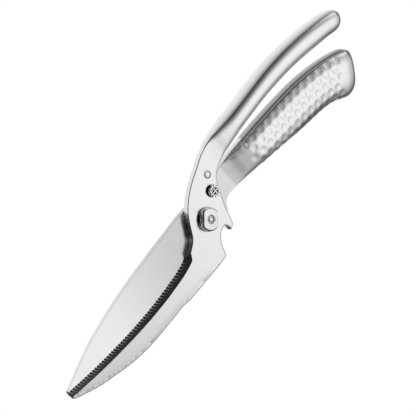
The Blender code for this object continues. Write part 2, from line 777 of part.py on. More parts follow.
def lock_knob_screw(parts, tools):
    face = PLATE_FACE + 2.1
    profile = [
        (0.0, face + 0.25),
        (1.2, face + 0.15),
        (2.05, face - 0.3),
        (2.05, face - 0.84),
        (1.05, face - 0.84),
        (1.05, 0.45),
        (0.0, 0.45),
    ]
    obj = turned("lock_knob_screw", profile, parts, at=KNOB, segments=32)
    x, y = KNOB
    long_arm, short_arm = 1.2, 0.28
    wide = (x - long_arm, y - short_arm, face - 0.4), (x + long_arm, y + short_arm, face + 1)
    tall = (x - short_arm, y - long_arm, face - 0.4), (x + short_arm, y + long_arm, face + 1)
    cross = block("screw_cross", *wide, tools)
    boolean(cross, block("screw_cross_b", *tall, tools), "UNION")
    return boolean(obj, cross)


def lock_nose_pin(parts):
    return cylinder("lock_nose_pin", NOSE, NOSE_PIN_R, -3.9, CATCH_FACES[1], parts, 24)


# ---------------------------------------------------------------- assembly
def pivot_empty(name, at, parts):
    empty = bpy.data.objects.new(name, None)
    empty.location = (at[0] * MM, at[1] * MM, 0.0)
    parts.objects.link(empty)
    return empty


def attach(empty, children):
    bpy.context.view_layer.update()
    for child in children:
        child.parent = empty
        child.matrix_parent_inverse = empty.matrix_world.inverted()


def move_to_origin(parts, tools):
    """Hang every loose object on one empty and shift it, so that the rivet's front end is at the origin."""
    frame = pivot_empty("shears_frame", (0.0, 0.0), parts)
    loose = [obj for obj in (*parts.objects, *tools.objects) if obj.parent is None and obj is not frame]
    attach(frame, loose)
    frame.location = (-PIVOT[0] * MM, -PIVOT[1] * MM, -RIVET_TOP * MM)


def build():
    clear_scene()
    parts = new_collection("poultry_shears")
    tools = new_collection("cutters")

    front = front_blade(parts, tools)
    rear = rear_blade(parts, tools)
    upper_shell, upper_liner = grip("upper_grip", UPPER_STATIONS, UPPER_LINER, parts, tools)
    lower_shell, lower_liner = grip("lower_grip", LOWER_STATIONS, LOWER_LINER, parts, tools)
    x0, x1, y0, y1 = UPPER_SPACER
    upper_spacer = block("upper_tang_spacer", (x0, y0, -SPACER_Z), (x1, y1, 0.1), parts)
    x0, x1, y0, y1 = LOWER_SPACER
    lower_spacer = block("lower_tang_spacer", (x0, y0, -0.1), (x1, y1, SPACER_Z), parts)

    stud = pivot_stud(parts)
    head = pivot_head(parts, tools)
    rivet = pivot_rivet(parts, tools)
    bore = BARREL_R + 0.1
    washer_front = ring_washer(
        "pivot_washer_front", RIVET_R + 0.1, HEAD_R - 0.2, RECESS_FLOOR + 0.06, RECESS_FLOOR + 0.29, parts, PIVOT
    )
    washer_rear = ring_washer(
        "pivot_washer_rear", bore, FLANGE_R, REAR_FLANGE[1] + 0.05, -PLATE_FACE - 0.05, parts, PIVOT
    )
    spring = torsion_spring(parts)
    post = stop_post(parts)

    catch = lock_catch(parts, tools)
    knob = lock_knob(parts)
    screw = lock_knob_screw(parts, tools)
    nose_pin = lock_nose_pin(parts)
    small_rivet = catch_rivet(parts)
    wave_washer = lock_wave_washer(parts)

    rear_lever = [rear, lower_shell, lower_liner, lower_spacer]
    rear_lever += [stud, head, rivet, washer_front, washer_rear, spring]
    attach(pivot_empty("blade_pivot_axis", PIVOT, parts), rear_lever)
    attach(pivot_empty("catch_axis", CATCH_PIVOT, parts), [catch, knob, screw, nose_pin])
    move_to_origin(parts, tools)

    plain = [front, rear, upper_shell, upper_liner, lower_shell, lower_liner]
    small = [upper_spacer, lower_spacer, stud, head, rivet, washer_front, washer_rear]
    small += [spring, post, catch, knob, screw, nose_pin, small_rivet, wave_washer]
    for obj in plain:
        obj.data.materials.append(steel(obj.name + "_steel", STEEL, 0.25))
    for obj in small:
        obj.data.materials.append(steel(obj.name + "_steel", DARK_STEEL, 0.35))
    for tool in tools.objects:
        tool.hide_render = True
        tool.display_type = "WIRE"


build()
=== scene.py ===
"""Looks of the poultry shears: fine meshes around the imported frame, steel finishes, studio and camera.

Lengths are in millimetres, in the outlines' own axes: x runs toward the handles, y toward the upper handle,
and z outward from the contact plane of the two plates. TO_ROW turns them into the row frame. The upper handle
and the lower blade are one lever (front), the lower handle and the upper blade are the other (rear).
"""

import json
import math

import bmesh
import bpy
import numpy as np
from mathutils import Matrix, Vector
from mathutils.geometry import delaunay_2d_cdt


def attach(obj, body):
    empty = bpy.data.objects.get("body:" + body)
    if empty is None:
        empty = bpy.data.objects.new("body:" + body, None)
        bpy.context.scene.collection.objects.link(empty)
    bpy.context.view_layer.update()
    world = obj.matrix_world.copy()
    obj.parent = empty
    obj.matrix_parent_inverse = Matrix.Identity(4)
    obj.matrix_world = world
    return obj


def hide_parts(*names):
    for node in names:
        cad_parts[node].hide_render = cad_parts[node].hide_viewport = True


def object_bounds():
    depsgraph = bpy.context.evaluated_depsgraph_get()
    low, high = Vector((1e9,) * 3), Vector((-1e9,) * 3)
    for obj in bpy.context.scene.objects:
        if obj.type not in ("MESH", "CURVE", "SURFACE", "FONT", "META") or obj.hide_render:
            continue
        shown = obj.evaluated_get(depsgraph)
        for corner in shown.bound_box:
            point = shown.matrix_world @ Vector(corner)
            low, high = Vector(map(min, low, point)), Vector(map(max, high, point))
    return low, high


MM = 0.001
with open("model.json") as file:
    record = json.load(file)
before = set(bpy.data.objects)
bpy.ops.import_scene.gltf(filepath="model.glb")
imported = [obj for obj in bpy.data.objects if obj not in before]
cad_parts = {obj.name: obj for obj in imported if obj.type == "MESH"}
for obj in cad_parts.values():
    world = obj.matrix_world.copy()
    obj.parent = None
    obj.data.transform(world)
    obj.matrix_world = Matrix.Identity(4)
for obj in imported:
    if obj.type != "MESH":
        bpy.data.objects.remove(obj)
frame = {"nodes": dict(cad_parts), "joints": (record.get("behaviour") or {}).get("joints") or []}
cad_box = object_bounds()
joints = {joint["name"]: joint for joint in frame["joints"]}
CONTACT_Z = joints["blade_pivot"]["pos_m"][2] / MM
PIVOT = (-1.5, 1.6)
TO_ROW = np.array((-PIVOT[0], -PIVOT[1], CONTACT_Z))

# --- picture
OBJECT_AXIS = 46.5  # degrees that the object's length leans from the picture's vertical
CAMERA_TILT = 33.0  # degrees between the camera and the pivot axis
CAMERA_DISTANCE = 2.0
PICTURE_WIDTH = 226.7
AIM = (0.76, 6.2)  # the picture's centre, to the right of and above the outlines' own origin

# --- sizes shared with the solid model
PLATE_FACE = 4.2
PLATE_GAP = 0.15
TIP_FACE = 2.5
TAPER_START_X = -43.3
TIP_X = -131.0
EDGE_LAND = 0.2
BEVEL_WIDTH = 2.8
GRIP_HALF = 7.75
GRIP_WALL = 1.3
BUTT_WALL = 1.6  # from the last station to the hollow's end, in stations
SEAM_X = 47.0
RECESS_R = 6.7
RECESS_FLOOR = 2.6
BORE_R = 3.6
REAR_BORE_R = 3.54
HEAD_R = 6.5
HEAD_HALF_FLATS = 5.0
HEAD_TOP = 8.2
RIVET_TOP = 8.3
RIVET_R = 2.2
STUD_FLANGE_LOW = -6.0
FLATS_ANGLE = math.radians(-46.5)
CATCH_PIVOT = (16.2, 18.3)
CATCH_RIVET_R = 2.1
KNOB = (12.3, 9.6)
KNOB_FACE = PLATE_FACE + 2.1
KNOB_NECK_R = 1.8
NOSE = (12.6, 6.2)
SLOT_HALF = 3.3
SLOT_TRAVEL = 1.4
POCKET_CEILING = 1.75
POST_SPOT = (6.7, math.radians(62.0))  # distance and direction from the pivot
POST_HOLE_R, POST_HOLE_TOP = 0.94, 1.9
PIN_WAY_R = 1.45
COIL_POCKET_R, COIL_POCKET_LOW = 5.3, -2.9
POST_GROOVE = (4.1, 7.95)  # inner and outer radius about the pivot
POST_GROOVE_ANGLES = (45.0, 113.0)
POST_GROOVE_LOW = -2.2

# Outline points are (x, y); a third value marks a corner.
FRONT_TOP = [
    (30.0, 30.3, "corner"), (25.0, 30.0), (19.4, 28.1), (12.6, 25.3), (6.4, 22.8), (-0.8, 18.8),
    (-6.6, 14.2), (-10.4, 9.6), (-13.3, 4.9),
]
FRONT_EDGE = [
    (-16.3, 0.6), (-19.2, -1.4), (-24.5, -3.9), (-31.0, -5.5), (-42.0, -6.5), (-58.0, -7.0),
    (-74.0, -6.5), (-92.0, -5.1), (-111.0, -2.9), (-130.4, 0.2, "corner"),
]
FRONT_BACK = [
    (TIP_X, -3.9), (-129.4, -5.0), (-123.4, -7.6), (-115.0, -10.9), (-104.0, -14.3), (-93.0, -17.2),
    (-80.0, -19.3), (-65.0, -20.0), (-46.0, -20.0, "corner"), (-40.5, -21.0, "corner"),
]
OPENER_NOTCH = [
    (-7.4, -21.0), (-6.4, -19.8), (-5.6, -16.9), (-3.6, -13.4), (-1.0, -10.6), (1.6, -9.3), (4.2, -9.2),
    (5.1, -10.6), (5.5, -13.7, "corner"),
]
FRONT_NECK = [
    (8.3, -12.2), (9.6, -9.6), (10.4, -6.6), (12.2, -1.3), (15.3, 5.6), (18.3, 11.4), (21.2, 14.4),
    (25.4, 16.3), (30.0, 17.6, "corner"),
]
REAR_EDGE = [
    (-9.0, -8.3), (-17.0, -9.0), (-30.0, -9.3), (-45.0, -9.6), (-62.0, -9.7), (-80.0, -9.0),
    (-100.0, -7.2), (-128.9, -4.3, "corner"),
]
REAR_SPINE = [
    (-130.6, -2.6, "corner"), (-130.2, 0.9, "corner"), (-121.0, 3.3), (-107.0, 7.1), (-92.0, 9.8),
    (-76.0, 11.7), (-61.0, 12.7), (-45.0, 13.3), (-22.0, 13.7), (-6.0, 13.7), (-2.4, 12.9),
]
REAR_NECK_TOP = [(12.9, 4.0), (14.6, 6.0), (16.6, 9.6), (19.6, 12.2), (24.0, 13.3), (30.0, 13.6, "corner")]
REAR_NECK_BOTTOM = [
    (30.0, -2.0, "corner"), (23.0, -1.3), (18.4, -1.5), (15.5, -3.2), (13.6, -6.2), (11.2, -7.3), (9.0, -6.6),
]
HUB = (8.6, -52, -110, -9)  # radius, then degrees: start, stop, step
RELIEF = (10.6, 89, 65, -6)
TOOTH = (12.4, 58, 45, -4)
NOTCH = [(8.3, 6.9), (9.8, 4.6)]

FULL = (-GRIP_HALF, GRIP_HALF)
# (x top, y top, x bottom, y bottom, low face z, high face z, squareness)
UPPER_STATIONS = [
    (20.0, 27.9, 20.0, 13.9, 0.4, 4.0, 9.0),
    (26.0, 30.0, 26.0, 16.8, -0.6, 4.25, 8.0),
    (32.0, 30.7, 32.0, 17.7, -3.1, 4.9, 4.2),
    (38.0, 30.9, 38.0, 18.3, -5.6, 6.1, 3.4),
    (SEAM_X, 31.0, SEAM_X, 19.0, -7.4, 7.3, 2.6),
    (58.0, 31.2, 58.0, 19.6, *FULL, 2.6),
    (70.0, 31.5, 70.0, 19.9, *FULL, 2.6),
    (83.2, 31.6, 81.8, 19.5, *FULL, 2.6),
    (96.3, 30.8, 93.7, 18.5, *FULL, 2.6),
    (108.5, 29.1, 104.5, 16.9, -7.6, 7.6, 2.6),
    (119.6, 26.9, 114.4, 14.9, -7.4, 7.4, 2.6),
    (129.7, 24.2, 123.8, 12.9, -7.1, 7.1, 2.5),
    (136.2, 21.8, 131.0, 11.1, -6.6, 6.6, 2.5),
    (139.1, 19.3, 135.1, 11.6, -5.4, 5.4, 2.4),
    (139.6, 17.1, 137.8, 13.7, -3.0, 3.0, 2.2),
]
LOWER_STATIONS = [
    (20.0, 12.0, 20.0, -1.0, -4.0, -0.4, 9.0),
    (26.0, 13.4, 26.0, -1.5, -4.3, 0.0, 8.0),
    (32.0, 14.0, 32.0, -2.4, -5.2, 1.5, 5.0),
    (38.0, 14.5, 38.0, -3.2, -6.3, 3.8, 3.4),
    (SEAM_X, 14.8, SEAM_X, -4.5, -7.3, 6.6, 2.8),
    (57.1, 14.7, 54.9, -5.9, *FULL, 2.6),
    (68.1, 14.1, 64.9, -7.7, *FULL, 2.6),
    (80.2, 13.2, 75.8, -9.7, *FULL, 2.6),
    (92.2, 11.9, 85.8, -11.2, *FULL, 2.6),
    (104.4, 9.5, 94.6, -12.6, *FULL, 2.6),
    (114.5, 6.7, 101.5, -14.8, *FULL, 2.6),
    (121.5, 4.1, 106.5, -17.4, -7.6, 7.6, 2.6),
    (126.5, 1.6, 111.1, -19.6, -7.2, 7.2, 2.6),
    (129.2, -1.7, 116.6, -19.1, -5.8, 5.8, 2.5),
    (128.6, -4.5, 121.4, -15.1, -2.8, 2.8, 2.2),
]
SEAM_STATION = 4
JOIN_X = 22.0  # where a plate's flat faces hand over to the swelling shoulder

# --- sizes of the fine detail
RIM = 0.6  # rounding of a plate's outer edges
BACK_RIM = 1.1  # width of the rounding along the back edges
FOOT = 0.12  # rounding of a plate's inner edges
HOLE_RIM = 0.18
BEVEL_FADE = (6.5, 10.5)  # distance from the edge's start over which the ground bevel sets in
TEETH_FADE = (10.5, 12.5)
TEETH_PITCH = 2.0
TEETH_DEPTH = 0.5
TEETH_REACH = 0.56  # share of the bevel's width that a tooth's groove crosses
SCALLOP_PITCH = 4.4
SCALLOP_HEIGHT = 0.25
SCALLOP_RISE = 0.25  # share of a scallop's pitch on its steep side
BLEND_SQUARENESS = 4.5
LIP = (0.0, 0.05, 0.12, 0.22, 0.38)  # distances from a sheet's edge that get their own rows
LIP_REACH = 0.4
LIP_DROP = 0.02
PAST_LIP = 0.6
FAR = 9.0  # any distance beyond the lip
SEAM_HALF = 0.05  # half the gap between shell and liner
MOUTH_GAP = 0.015  # gap between the plate's shoulder and the shell
SHELL_ROUND, LINER_ROUND = 56.0, 12.0  # distances round a section that set the number of rows
DIMPLE_R = 2.3
DIMPLE_DEPTH = 0.3
DIMPLE_ROW = 4.55
DIMPLE_FIRST_ROW = 2.3  # from the seam
DIMPLE_START_X = 50.0
DIMPLE_PITCH = 6.12
DIMPLE_CLOSING = 0.035  # how fast the pitch shrinks toward the butt
DIMPLE_LAST_STATION = 11.05
CHAMFER = 0.75
FACING_PITCH = 1.25  # of the rings that turning leaves on the pivot's head
FACING_HEIGHT = 0.035
KNOB_NOTCHES = 11

# side: its stations, whether the liner is on the bottom, the seam's share of the half thickness, and the
# share of the stations where the liner stops
GRIPS = {"upper": (UPPER_STATIONS, True, 0.86, 0.88), "lower": (LOWER_STATIONS, False, 0.66, 0.86)}


# --- outlines
def arc_knots(radius, start, stop, step):
    angles = [math.radians(a) for a in range(start, stop - 1, step)]
    return [(radius * math.cos(a), radius * math.sin(a)) for a in angles]


def evaluated_mesh(obj):
    """A new mesh of the object with its curve or modifiers worked out."""
    bpy.context.view_layer.update()
    return bpy.data.meshes.new_from_object(obj.evaluated_get(bpy.context.evaluated_depsgraph_get()))


def outline(knots, resolution=16):
    """The closed outline through smooth and corner knots, counter-clockwise."""
    curve = bpy.data.curves.new("outline", "CURVE")
    curve.dimensions = "2D"
    curve.fill_mode = "NONE"
    curve.resolution_u = resolution
    spline = curve.splines.new("BEZIER")
    spline.bezier_points.add(len(knots) - 1)
    for point, (x, y, *corner) in zip(spline.bezier_points, knots):
        point.co = (x, y, 0.0)
        point.handle_left_type = point.handle_right_type = "VECTOR" if corner else "AUTO"
    spline.use_cyclic_u = True
    holder = linked("outline", curve)
    mesh = evaluated_mesh(holder)
    points = np.array([v.co[:2] for v in mesh.vertices])
    bpy.data.objects.remove(holder, do_unlink=True)
    bpy.data.curves.remove(curve)
    bpy.data.meshes.remove(mesh)
    return points if area(points) > 0 else points[::-1]


def area(points):
    x, y = points[:, 0], points[:, 1]
    return 0.5 * np.sum(x * np.roll(y, -1) - np.roll(x, -1) * y)


def travelled(points):
    """Distance along a run, at each of its points."""
    return np.r_[0, np.cumsum(np.linalg.norm(np.diff(points, axis=0), axis=1))]


def even(points, spacing, corner=0.3):
    """Resample an open run; spacing(point) gives the step there, and corners stay."""
    points = points[np.r_[True, np.diff(travelled(points)) > 1e-6]]
    steps = np.diff(points, axis=0)
    heading = np.unwrap(np.arctan2(steps[:, 1], steps[:, 0]))
    ends = [0, *(np.flatnonzero(np.abs(np.diff(heading)) > corner) + 1), len(points) - 1]
    out = []
    for a, b in zip(ends, ends[1:]):
        run = points[a : b + 1]
        step = np.array([spacing(p) for p in (run[1:] + run[:-1]) / 2])
        cost = np.r_[0, np.cumsum(np.diff(travelled(run)) / step)]
        count = max(1, int(round(cost[-1])))
        at = np.linspace(0, cost[-1], count + 1)[:-1]
        out.append(np.c_[np.interp(at, cost, run[:, 0]), np.interp(at, cost, run[:, 1])])
    return np.vstack([*out, points[-1:]])


def unit(vectors):
    return vectors / np.maximum(np.linalg.norm(vectors, axis=-1, keepdims=True), 1e-9)


def inward(points, closed=True):
    """Unit normals to the left of a run, stretched a little at corners."""
    before, after = np.roll(points, 1, axis=0), np.roll(points, -1, axis=0)
    if not closed:
        before[0], after[-1] = points[0], points[-1]
    a, b = unit(points - before), unit(after - points)
    mid = unit(a + b)
    stretch = np.clip(1 / np.maximum(np.sqrt((1 + np.sum(a * b, axis=1)) / 2), 0.5), 1, 1.35)
    return np.c_[-mid[:, 1], mid[:, 0]] * stretch[:, None]


def circle(centre, radius, count, start=0.0):
    a = start + np.linspace(0, 2 * math.pi, count, endpoint=False)
    return np.c_[centre[0] + radius * np.cos(a), centre[1] + radius * np.sin(a)]


def turned(points, angle, centre):
    """Points about the origin, turned by an angle and moved to a centre."""
    c, s = math.cos(angle), math.sin(angle)
    return np.c_[c * points[:, 0] - s * points[:, 1], s * points[:, 0] + c * points[:, 1]] + centre


def smooth(x, low, high):
    t = np.clip((x - low) / (high - low), 0, 1)
    return t * t * (3 - 2 * t)


def signed_power(values, power):
    return np.sign(values) * np.abs(values) ** power


def catmull_rom(values, t):
    """Smooth row between a table's equally spaced rows; t runs from 0 to len - 1."""
    rows = np.array(values)
    rows = np.vstack([2 * rows[0] - rows[1], rows, 2 * rows[-1] - rows[-2]])
    i = min(int(t), len(values) - 2)
    f = t - i
    a, b, c, d = rows[i : i + 4]
    return b + 0.5 * f * (c - a + f * (2 * a - 5 * b + 4 * c - d + f * (3 * (b - c) + d - a)))


# --- mesh building
def linked(name, data):
    obj = bpy.data.objects.new(name, data)
    bpy.context.scene.collection.objects.link(obj)
    return obj


class Shape:
    """Vertices in rings, quads between them, and flat-ish caps filled with small triangles."""

    def __init__(self):
        self.points = []
        self.faces = []

    def ring(self, points):
        first = len(self.points)
        self.points.extend(tuple(p) for p in points)
        return list(range(first, first + len(points)))

    def level(self, points, z):
        """A ring of flat points at one height, or at one height each."""
        return self.ring(np.c_[points, np.broadcast_to(z, len(points))])

    def skin(self, rings, closed=True):
        """Quads between each ring and the next."""
        for a, b in zip(rings, rings[1:]):
            count = len(a)
            for i in range(count if closed else count - 1):
                j = (i + 1) % count
                self.faces.append((a[i], a[j], b[j], b[i]))

    def cap(self, loops, height=None, spacing=None, extra=None):
        """Fill between closed loops of vertex indices; height(x, y) lifts the inner points."""
        border = [np.array([self.points[i][:2] for i in loop]) for loop in loops]
        edges, ids = [], []
        for loop in loops:
            first = len(ids)
            ids.extend(loop)
            edges.extend((first + i, first + (i + 1) % len(loop)) for i in range(len(loop)))
        flat = np.vstack(border)
        inner = np.zeros((0, 2)) if extra is None else extra
        if spacing:
            inner = grid_points(border, spacing)
        if len(inner):
            ids.extend(self.level(inner, height(inner[:, 0], inner[:, 1])))
        vectors = [Vector(p) for p in np.vstack([flat, inner])]
        found, _e, triangles, origin, _oe, _of = delaunay_2d_cdt(vectors, edges, [], 0, 1e-7)
        where = np.array([tuple(v) for v in found])
        for i, spot in enumerate(where):
            if not origin[i]:  # two edges cross here, so the point is new
                near = ids[int(np.argmin(np.linalg.norm(flat - spot, axis=1)))]
                ids += self.ring([(spot[0], spot[1], self.points[near][2])])
                origin[i] = [len(ids) - 1]
        triangles = np.array(triangles)
        centres = where[triangles].mean(axis=1)
        for triangle in triangles[inside(centres, border)]:
            self.faces.append(tuple(ids[origin[i][0]] for i in triangle))

    def mesh(self, name):
        points = np.array(self.points, float) + TO_ROW
        mesh = bpy.data.meshes.new(name)
        mesh.from_pydata((points * MM).tolist(), [], self.faces)
        return mesh


def inside(points, loops):
    """Even-odd test of points against closed loops."""
    odd = np.zeros(len(points), bool)
    for loop in loops:
        nxt = np.roll(loop, -1, axis=0)
        for (x1, y1), (x2, y2) in zip(loop, nxt):
            if y1 == y2:
                continue
            hit = (points[:, 1] > min(y1, y2)) & (points[:, 1] <= max(y1, y2))
            at = x1 + (points[:, 1] - y1) * (x2 - x1) / (y2 - y1)
            odd ^= hit & (points[:, 0] < at)
    return odd


def clearance(points, others):
    """Distance from each point to the nearest of the others."""
    return np.array([np.hypot(*(others - point).T).min() for point in points])


def grid_points(loops, spacing):
    """A staggered grid inside the loops, kept clear of them."""
    border = np.vstack(loops)
    low, high = border.min(axis=0), border.max(axis=0)
    rows = []
    for k, y in enumerate(np.arange(low[1], high[1], spacing * 0.87)):
        x = np.arange(low[0] + (k % 2) * spacing / 2, high[0], spacing)
        rows.append(np.c_[x, np.full(len(x), y)])
    points = np.vstack(rows)
    points = points[inside(points, loops)]
    return points[clearance(points, border) > spacing * 0.55]


def clean(mesh):
    """Join doubled points and turn the faces outward."""
    bm = bmesh.new()
    bm.from_mesh(mesh)
    bmesh.ops.remove_doubles(bm, verts=bm.verts, dist=0.000002)
    bmesh.ops.recalc_face_normals(bm, faces=bm.faces)
    bm.to_mesh(mesh)
    bm.free()


def cutter(name, points, low, high):
    """A straight-sided closed solid for a hidden cut."""
    shape = Shape()
    bottom, top = shape.level(points, low), shape.level(points, high)
    shape.skin([bottom, top])
    shape.faces += [tuple(bottom[::-1]), tuple(top)]
    return linked(name, shape.mesh(name))


def cut(mesh, cutters):
    """The mesh with the cutters taken away."""
    clean(mesh)
    obj = linked("to_cut", mesh)
    for tool in cutters:
        modifier = obj.modifiers.new(tool.name, "BOOLEAN")
        modifier.operation = "DIFFERENCE"
        modifier.solver = "EXACT"
        modifier.object = tool
    result = evaluated_mesh(obj)
    for used in [obj] + cutters:
        bpy.data.objects.remove(used, do_unlink=True)
    return result


def place(node, shape, cutters=None):
    """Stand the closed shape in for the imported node, on its body and with its finish."""
    body, slot, material, smooth_angle, _nodes = next(row for row in PIECES if node in row[-1].split())
    name = node + "_fine"
    mesh = cut(shape.mesh(name), cutters) if cutters else shape.mesh(name)
    clean(mesh)
    mesh.shade_smooth()
    mesh.set_sharp_from_angle(angle=math.radians(smooth_angle))
    obj = linked(name, mesh)
    obj.data.materials.append(material)
    weighted = obj.modifiers.new("Weighted normals", "WEIGHTED_NORMAL")
    weighted.keep_sharp = True
    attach(obj, body)
    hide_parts(node)


def lathe(node, profile, at, count=96, closed=False, warp=None):
    """A turned piece. A profile that starts and ends on the axis closes itself."""
    shape = Shape()
    rings = []
    for r, z in profile:
        if r < 1e-6:
            rings.append(shape.ring([(*at, z)]) * count)
        else:
            rings.append(shape.level(circle(at, r, count), z))
    if warp:
        shape.points = [warp(p) for p in shape.points]
    if closed:
        rings.append(rings[0])
    for a, b in zip(rings, rings[1:]):
        for i in range(count):
            j = (i + 1) % count
            face = tuple(dict.fromkeys((a[i], a[j], b[j], b[i])))
            if len(face) > 2:
                shape.faces.append(face)
    place(node, shape)


# --- steel
class Graph:
    """A node tree, with short ways to add nodes to it."""

    def __init__(self, owner):
        owner.use_nodes = True
        self.nodes, self.links = owner.node_tree.nodes, owner.node_tree.links

    def feed(self, socket, value):
        """Link another node's output to the socket, or set a plain value."""
        if isinstance(value, bpy.types.NodeSocket):
            self.links.new(value, socket)
        else:
            socket.default_value = value

    def add(self, kind, output, inputs, **settings):
        """The named output of a new node."""
        node = self.nodes.new("ShaderNode" + kind)
        for name, value in settings.items():
            setattr(node, name, value)
        for name, value in inputs.items():
            self.feed(node.inputs[name], value)
        return node.outputs[output]

    def math(self, operation, a, b=0.0):
        return self.add("Math", "Value", {0: a, 1: b}, operation=operation)

    def scaled(self, value, start, stop, low=0.0, high=1.0, kind="LINEAR"):
        """The value carried from start..stop to low..high, and held there beyond them."""
        inputs = {"Value": value, "From Min": start, "From Max": stop, "To Min": low, "To Max": high}
        return self.add("MapRange", "Result", inputs, interpolation_type=kind)

    def lobe(self, direction, toward, low, high):
        """Smooth 0 to 1 as a ray's direction turns toward the given one."""
        return self.scaled(self.dot(direction, toward), low, high, kind="SMOOTHSTEP")

    def dot(self, direction, toward):
        inputs = {0: direction, 1: Vector(toward).normalized()}
        return self.add("VectorMath", "Value", inputs, operation="DOT_PRODUCT")

    def plus(self, light, mask, level):
        return self.math("ADD", light, self.math("MULTIPLY", mask, level))

    def dimmed(self, light, mask, share):
        """The light, less a share of it where the mask is 1."""
        kept = self.math("SUBTRACT", 1.0, self.math("MULTIPLY", mask, share))
        return self.math("MULTIPLY", light, kept)

    def tinted(self, color, by):
        inputs = {"Factor": 1.0, "A": color, "B": by}
        return self.add("Mix", "Result", inputs, data_type="RGBA", blend_type="MULTIPLY")

    def white_to_camera(self, light):
        """The light for rays that reach the object, and plain white for the camera."""
        seen = self.nodes.new("ShaderNodeLightPath").outputs["Is Camera Ray"]
        return self.add("Mix", "Result", {"Factor": seen, "A": light, "B": 1.0}, data_type="FLOAT")


def painted_edge_shade_and_highlight(graph, where):
    """Tone of the front blade, painted light: painted shade on its heel and ground edge, a painted highlight on
    the flanks of the teeth there.
    """
    position = graph.nodes.new("ShaderNodeSeparateXYZ")
    normal = graph.nodes.new("ShaderNodeSeparateXYZ")
    graph.feed(position.inputs["Vector"], where["Object"])
    graph.feed(normal.inputs["Vector"], where["Normal"])
    leaning = graph.math("ADD", graph.math("MULTIPLY", position.outputs["Z"], 1.48), position.outputs["X"])
    past_start = graph.scaled(leaning, -0.0170, -0.0200)
    facing_edge = graph.scaled(normal.outputs["Y"], 0.2, 0.4)
    slanted = graph.scaled(normal.outputs["Z"], 0.93, 0.85)
    facing_heel = graph.scaled(normal.outputs["X"], 0.12, 0.22)
    past_heel = graph.scaled(position.outputs["X"], -0.024, -0.026)
    # the edge mask is painted shade, the flank mask a painted highlight
    edge = graph.math("MULTIPLY", graph.math("MULTIPLY", past_start, facing_edge), slanted)
    flank_highlight = graph.math("MULTIPLY", graph.math("MULTIPLY", edge, facing_heel), past_heel)
    return graph.plus(graph.dimmed(1.0, edge, 0.62), flank_highlight, 0.62)


FINE_GRAIN = (300, 300, 300)


def steel(name, color, roughness, grain=(40, 900, 900), bump=0.0, painted_shade_below=None, ground=False, fade=None):
    """Stainless steel: metal with slow tone changes, a directional grain and an uneven polish; where asked,
    painted shade toward a spot or below a height, and the front blade's painted edge shade and highlight.
    """
    material = bpy.data.materials.new(name)
    graph = Graph(material)
    where = graph.nodes.new("ShaderNodeTexCoord").outputs
    at = where["Object"]
    cloud = graph.add("TexNoise", "Fac", {"Vector": at, "Scale": 60.0, "Detail": 4.0})
    stretched = graph.add("Mapping", "Vector", {"Vector": at, "Scale": grain})
    inputs = {"Vector": stretched, "Scale": 4.0, "Detail": 6.0, "Roughness": 0.6}
    lines = graph.add("TexNoise", "Fac", inputs)
    tone_and_painted_shade = graph.scaled(cloud, 0.0, 1.0, 0.98, 1.02)
    # painted shade: the colour darkens smoothly toward the given spot
    if fade:
        spot, reach, level = fade
        inputs = {0: at, 1: [v * MM for v in spot]}
        off = graph.add("VectorMath", "Value", inputs, operation="DISTANCE")
        tone_and_painted_shade = graph.tinted(tone_and_painted_shade, graph.scaled(off, reach * MM, 0.0, 1.0, level, "SMOOTHSTEP"))
    base = graph.tinted((*color, 1.0), tone_and_painted_shade)
    # painted shade on the front blade's heel and ground edge, painted highlight on its teeth's flanks
    if ground:
        base = graph.tinted(base, painted_edge_shade_and_highlight(graph, where))
    # painted shade: much darker below the given height
    if painted_shade_below:
        height = graph.add("SeparateXYZ", "Z", {"Vector": at})
        level = (painted_shade_below + CONTACT_Z) * MM
        base = graph.tinted(base, graph.scaled(height, level - 0.25 * MM, level, 0.06))
    shader = graph.nodes["Principled BSDF"].inputs
    graph.feed(shader["Base Color"], base)
    graph.feed(shader["Metallic"], 1.0)
    graph.feed(shader["Roughness"], graph.scaled(lines, 0.0, 1.0, roughness * 0.85, roughness * 1.15))
    if bump:
        inputs = {"Height": lines, "Strength": bump, "Distance": 0.02 * MM}
        graph.feed(shader["Normal"], graph.add("Bump", "Normal", inputs))
    return material


STEEL_TONE = (0.86, 0.86, 0.855)
# Painted shade on the blades' faces: the rear blade darkens toward its heel, the front blade toward its tip.
REAR_PAINTED_SHADE = ((-14.0, -4.0, -8.0), 85.0, 0.70)  # the darkest spot, how far it reaches, and its tone
FRONT_PAINTED_SHADE = ((-125.0, -12.0, -5.0), 150.0, 0.74)
BLADE_STEEL = steel("blade_satin", STEEL_TONE, 0.24, bump=0.12, fade=REAR_PAINTED_SHADE)
FRONT_BLADE_STEEL = steel("blade_satin_painted_shade_and_highlight", STEEL_TONE, 0.24, bump=0.12, ground=True, fade=FRONT_PAINTED_SHADE)
GRIP_STEEL = steel("grip_polish", STEEL_TONE, 0.20, bump=0.1)
# a darker copy of the grip steel for the lower handle's liner, between the handles: painted shade
LINER_SHADED_STEEL = steel("liner_satin_painted_shade", (0.44, 0.44, 0.437), 0.22, bump=0.1)
HAMMERED_STEEL = steel("grip_hammered", STEEL_TONE, 0.18, bump=0.08)
PIVOT_STEEL = steel("pivot_turned", (0.84, 0.84, 0.835), 0.18, FINE_GRAIN, bump=0.1)
LOCK_STEEL = steel("lock_polish", (0.86, 0.86, 0.86), 0.14, FINE_GRAIN)
# the screw is painted dark below the knob's face: painted shade in the counterbore
SCREW_STEEL = steel("lock_screw", (0.86, 0.86, 0.86), 0.16, FINE_GRAIN, painted_shade_below=6.2)
# near-black steel for the front washer in the head's recess and the catch under the slot: painted shadow
SHADE_BLACK_STEEL = steel("painted_shade_black", (0.03, 0.03, 0.03), 0.5, FINE_GRAIN, bump=0.2)
# a darker copy of the steel for parts inside the plates and handles: painted shade
INNER_SHADED_STEEL = steel("inner_steel", (0.5, 0.5, 0.5), 0.35, FINE_GRAIN, bump=0.2)
SPRING_STEEL = steel("spring_wire", (0.62, 0.61, 0.6), 0.25, (60, 60, 900), bump=0.2)

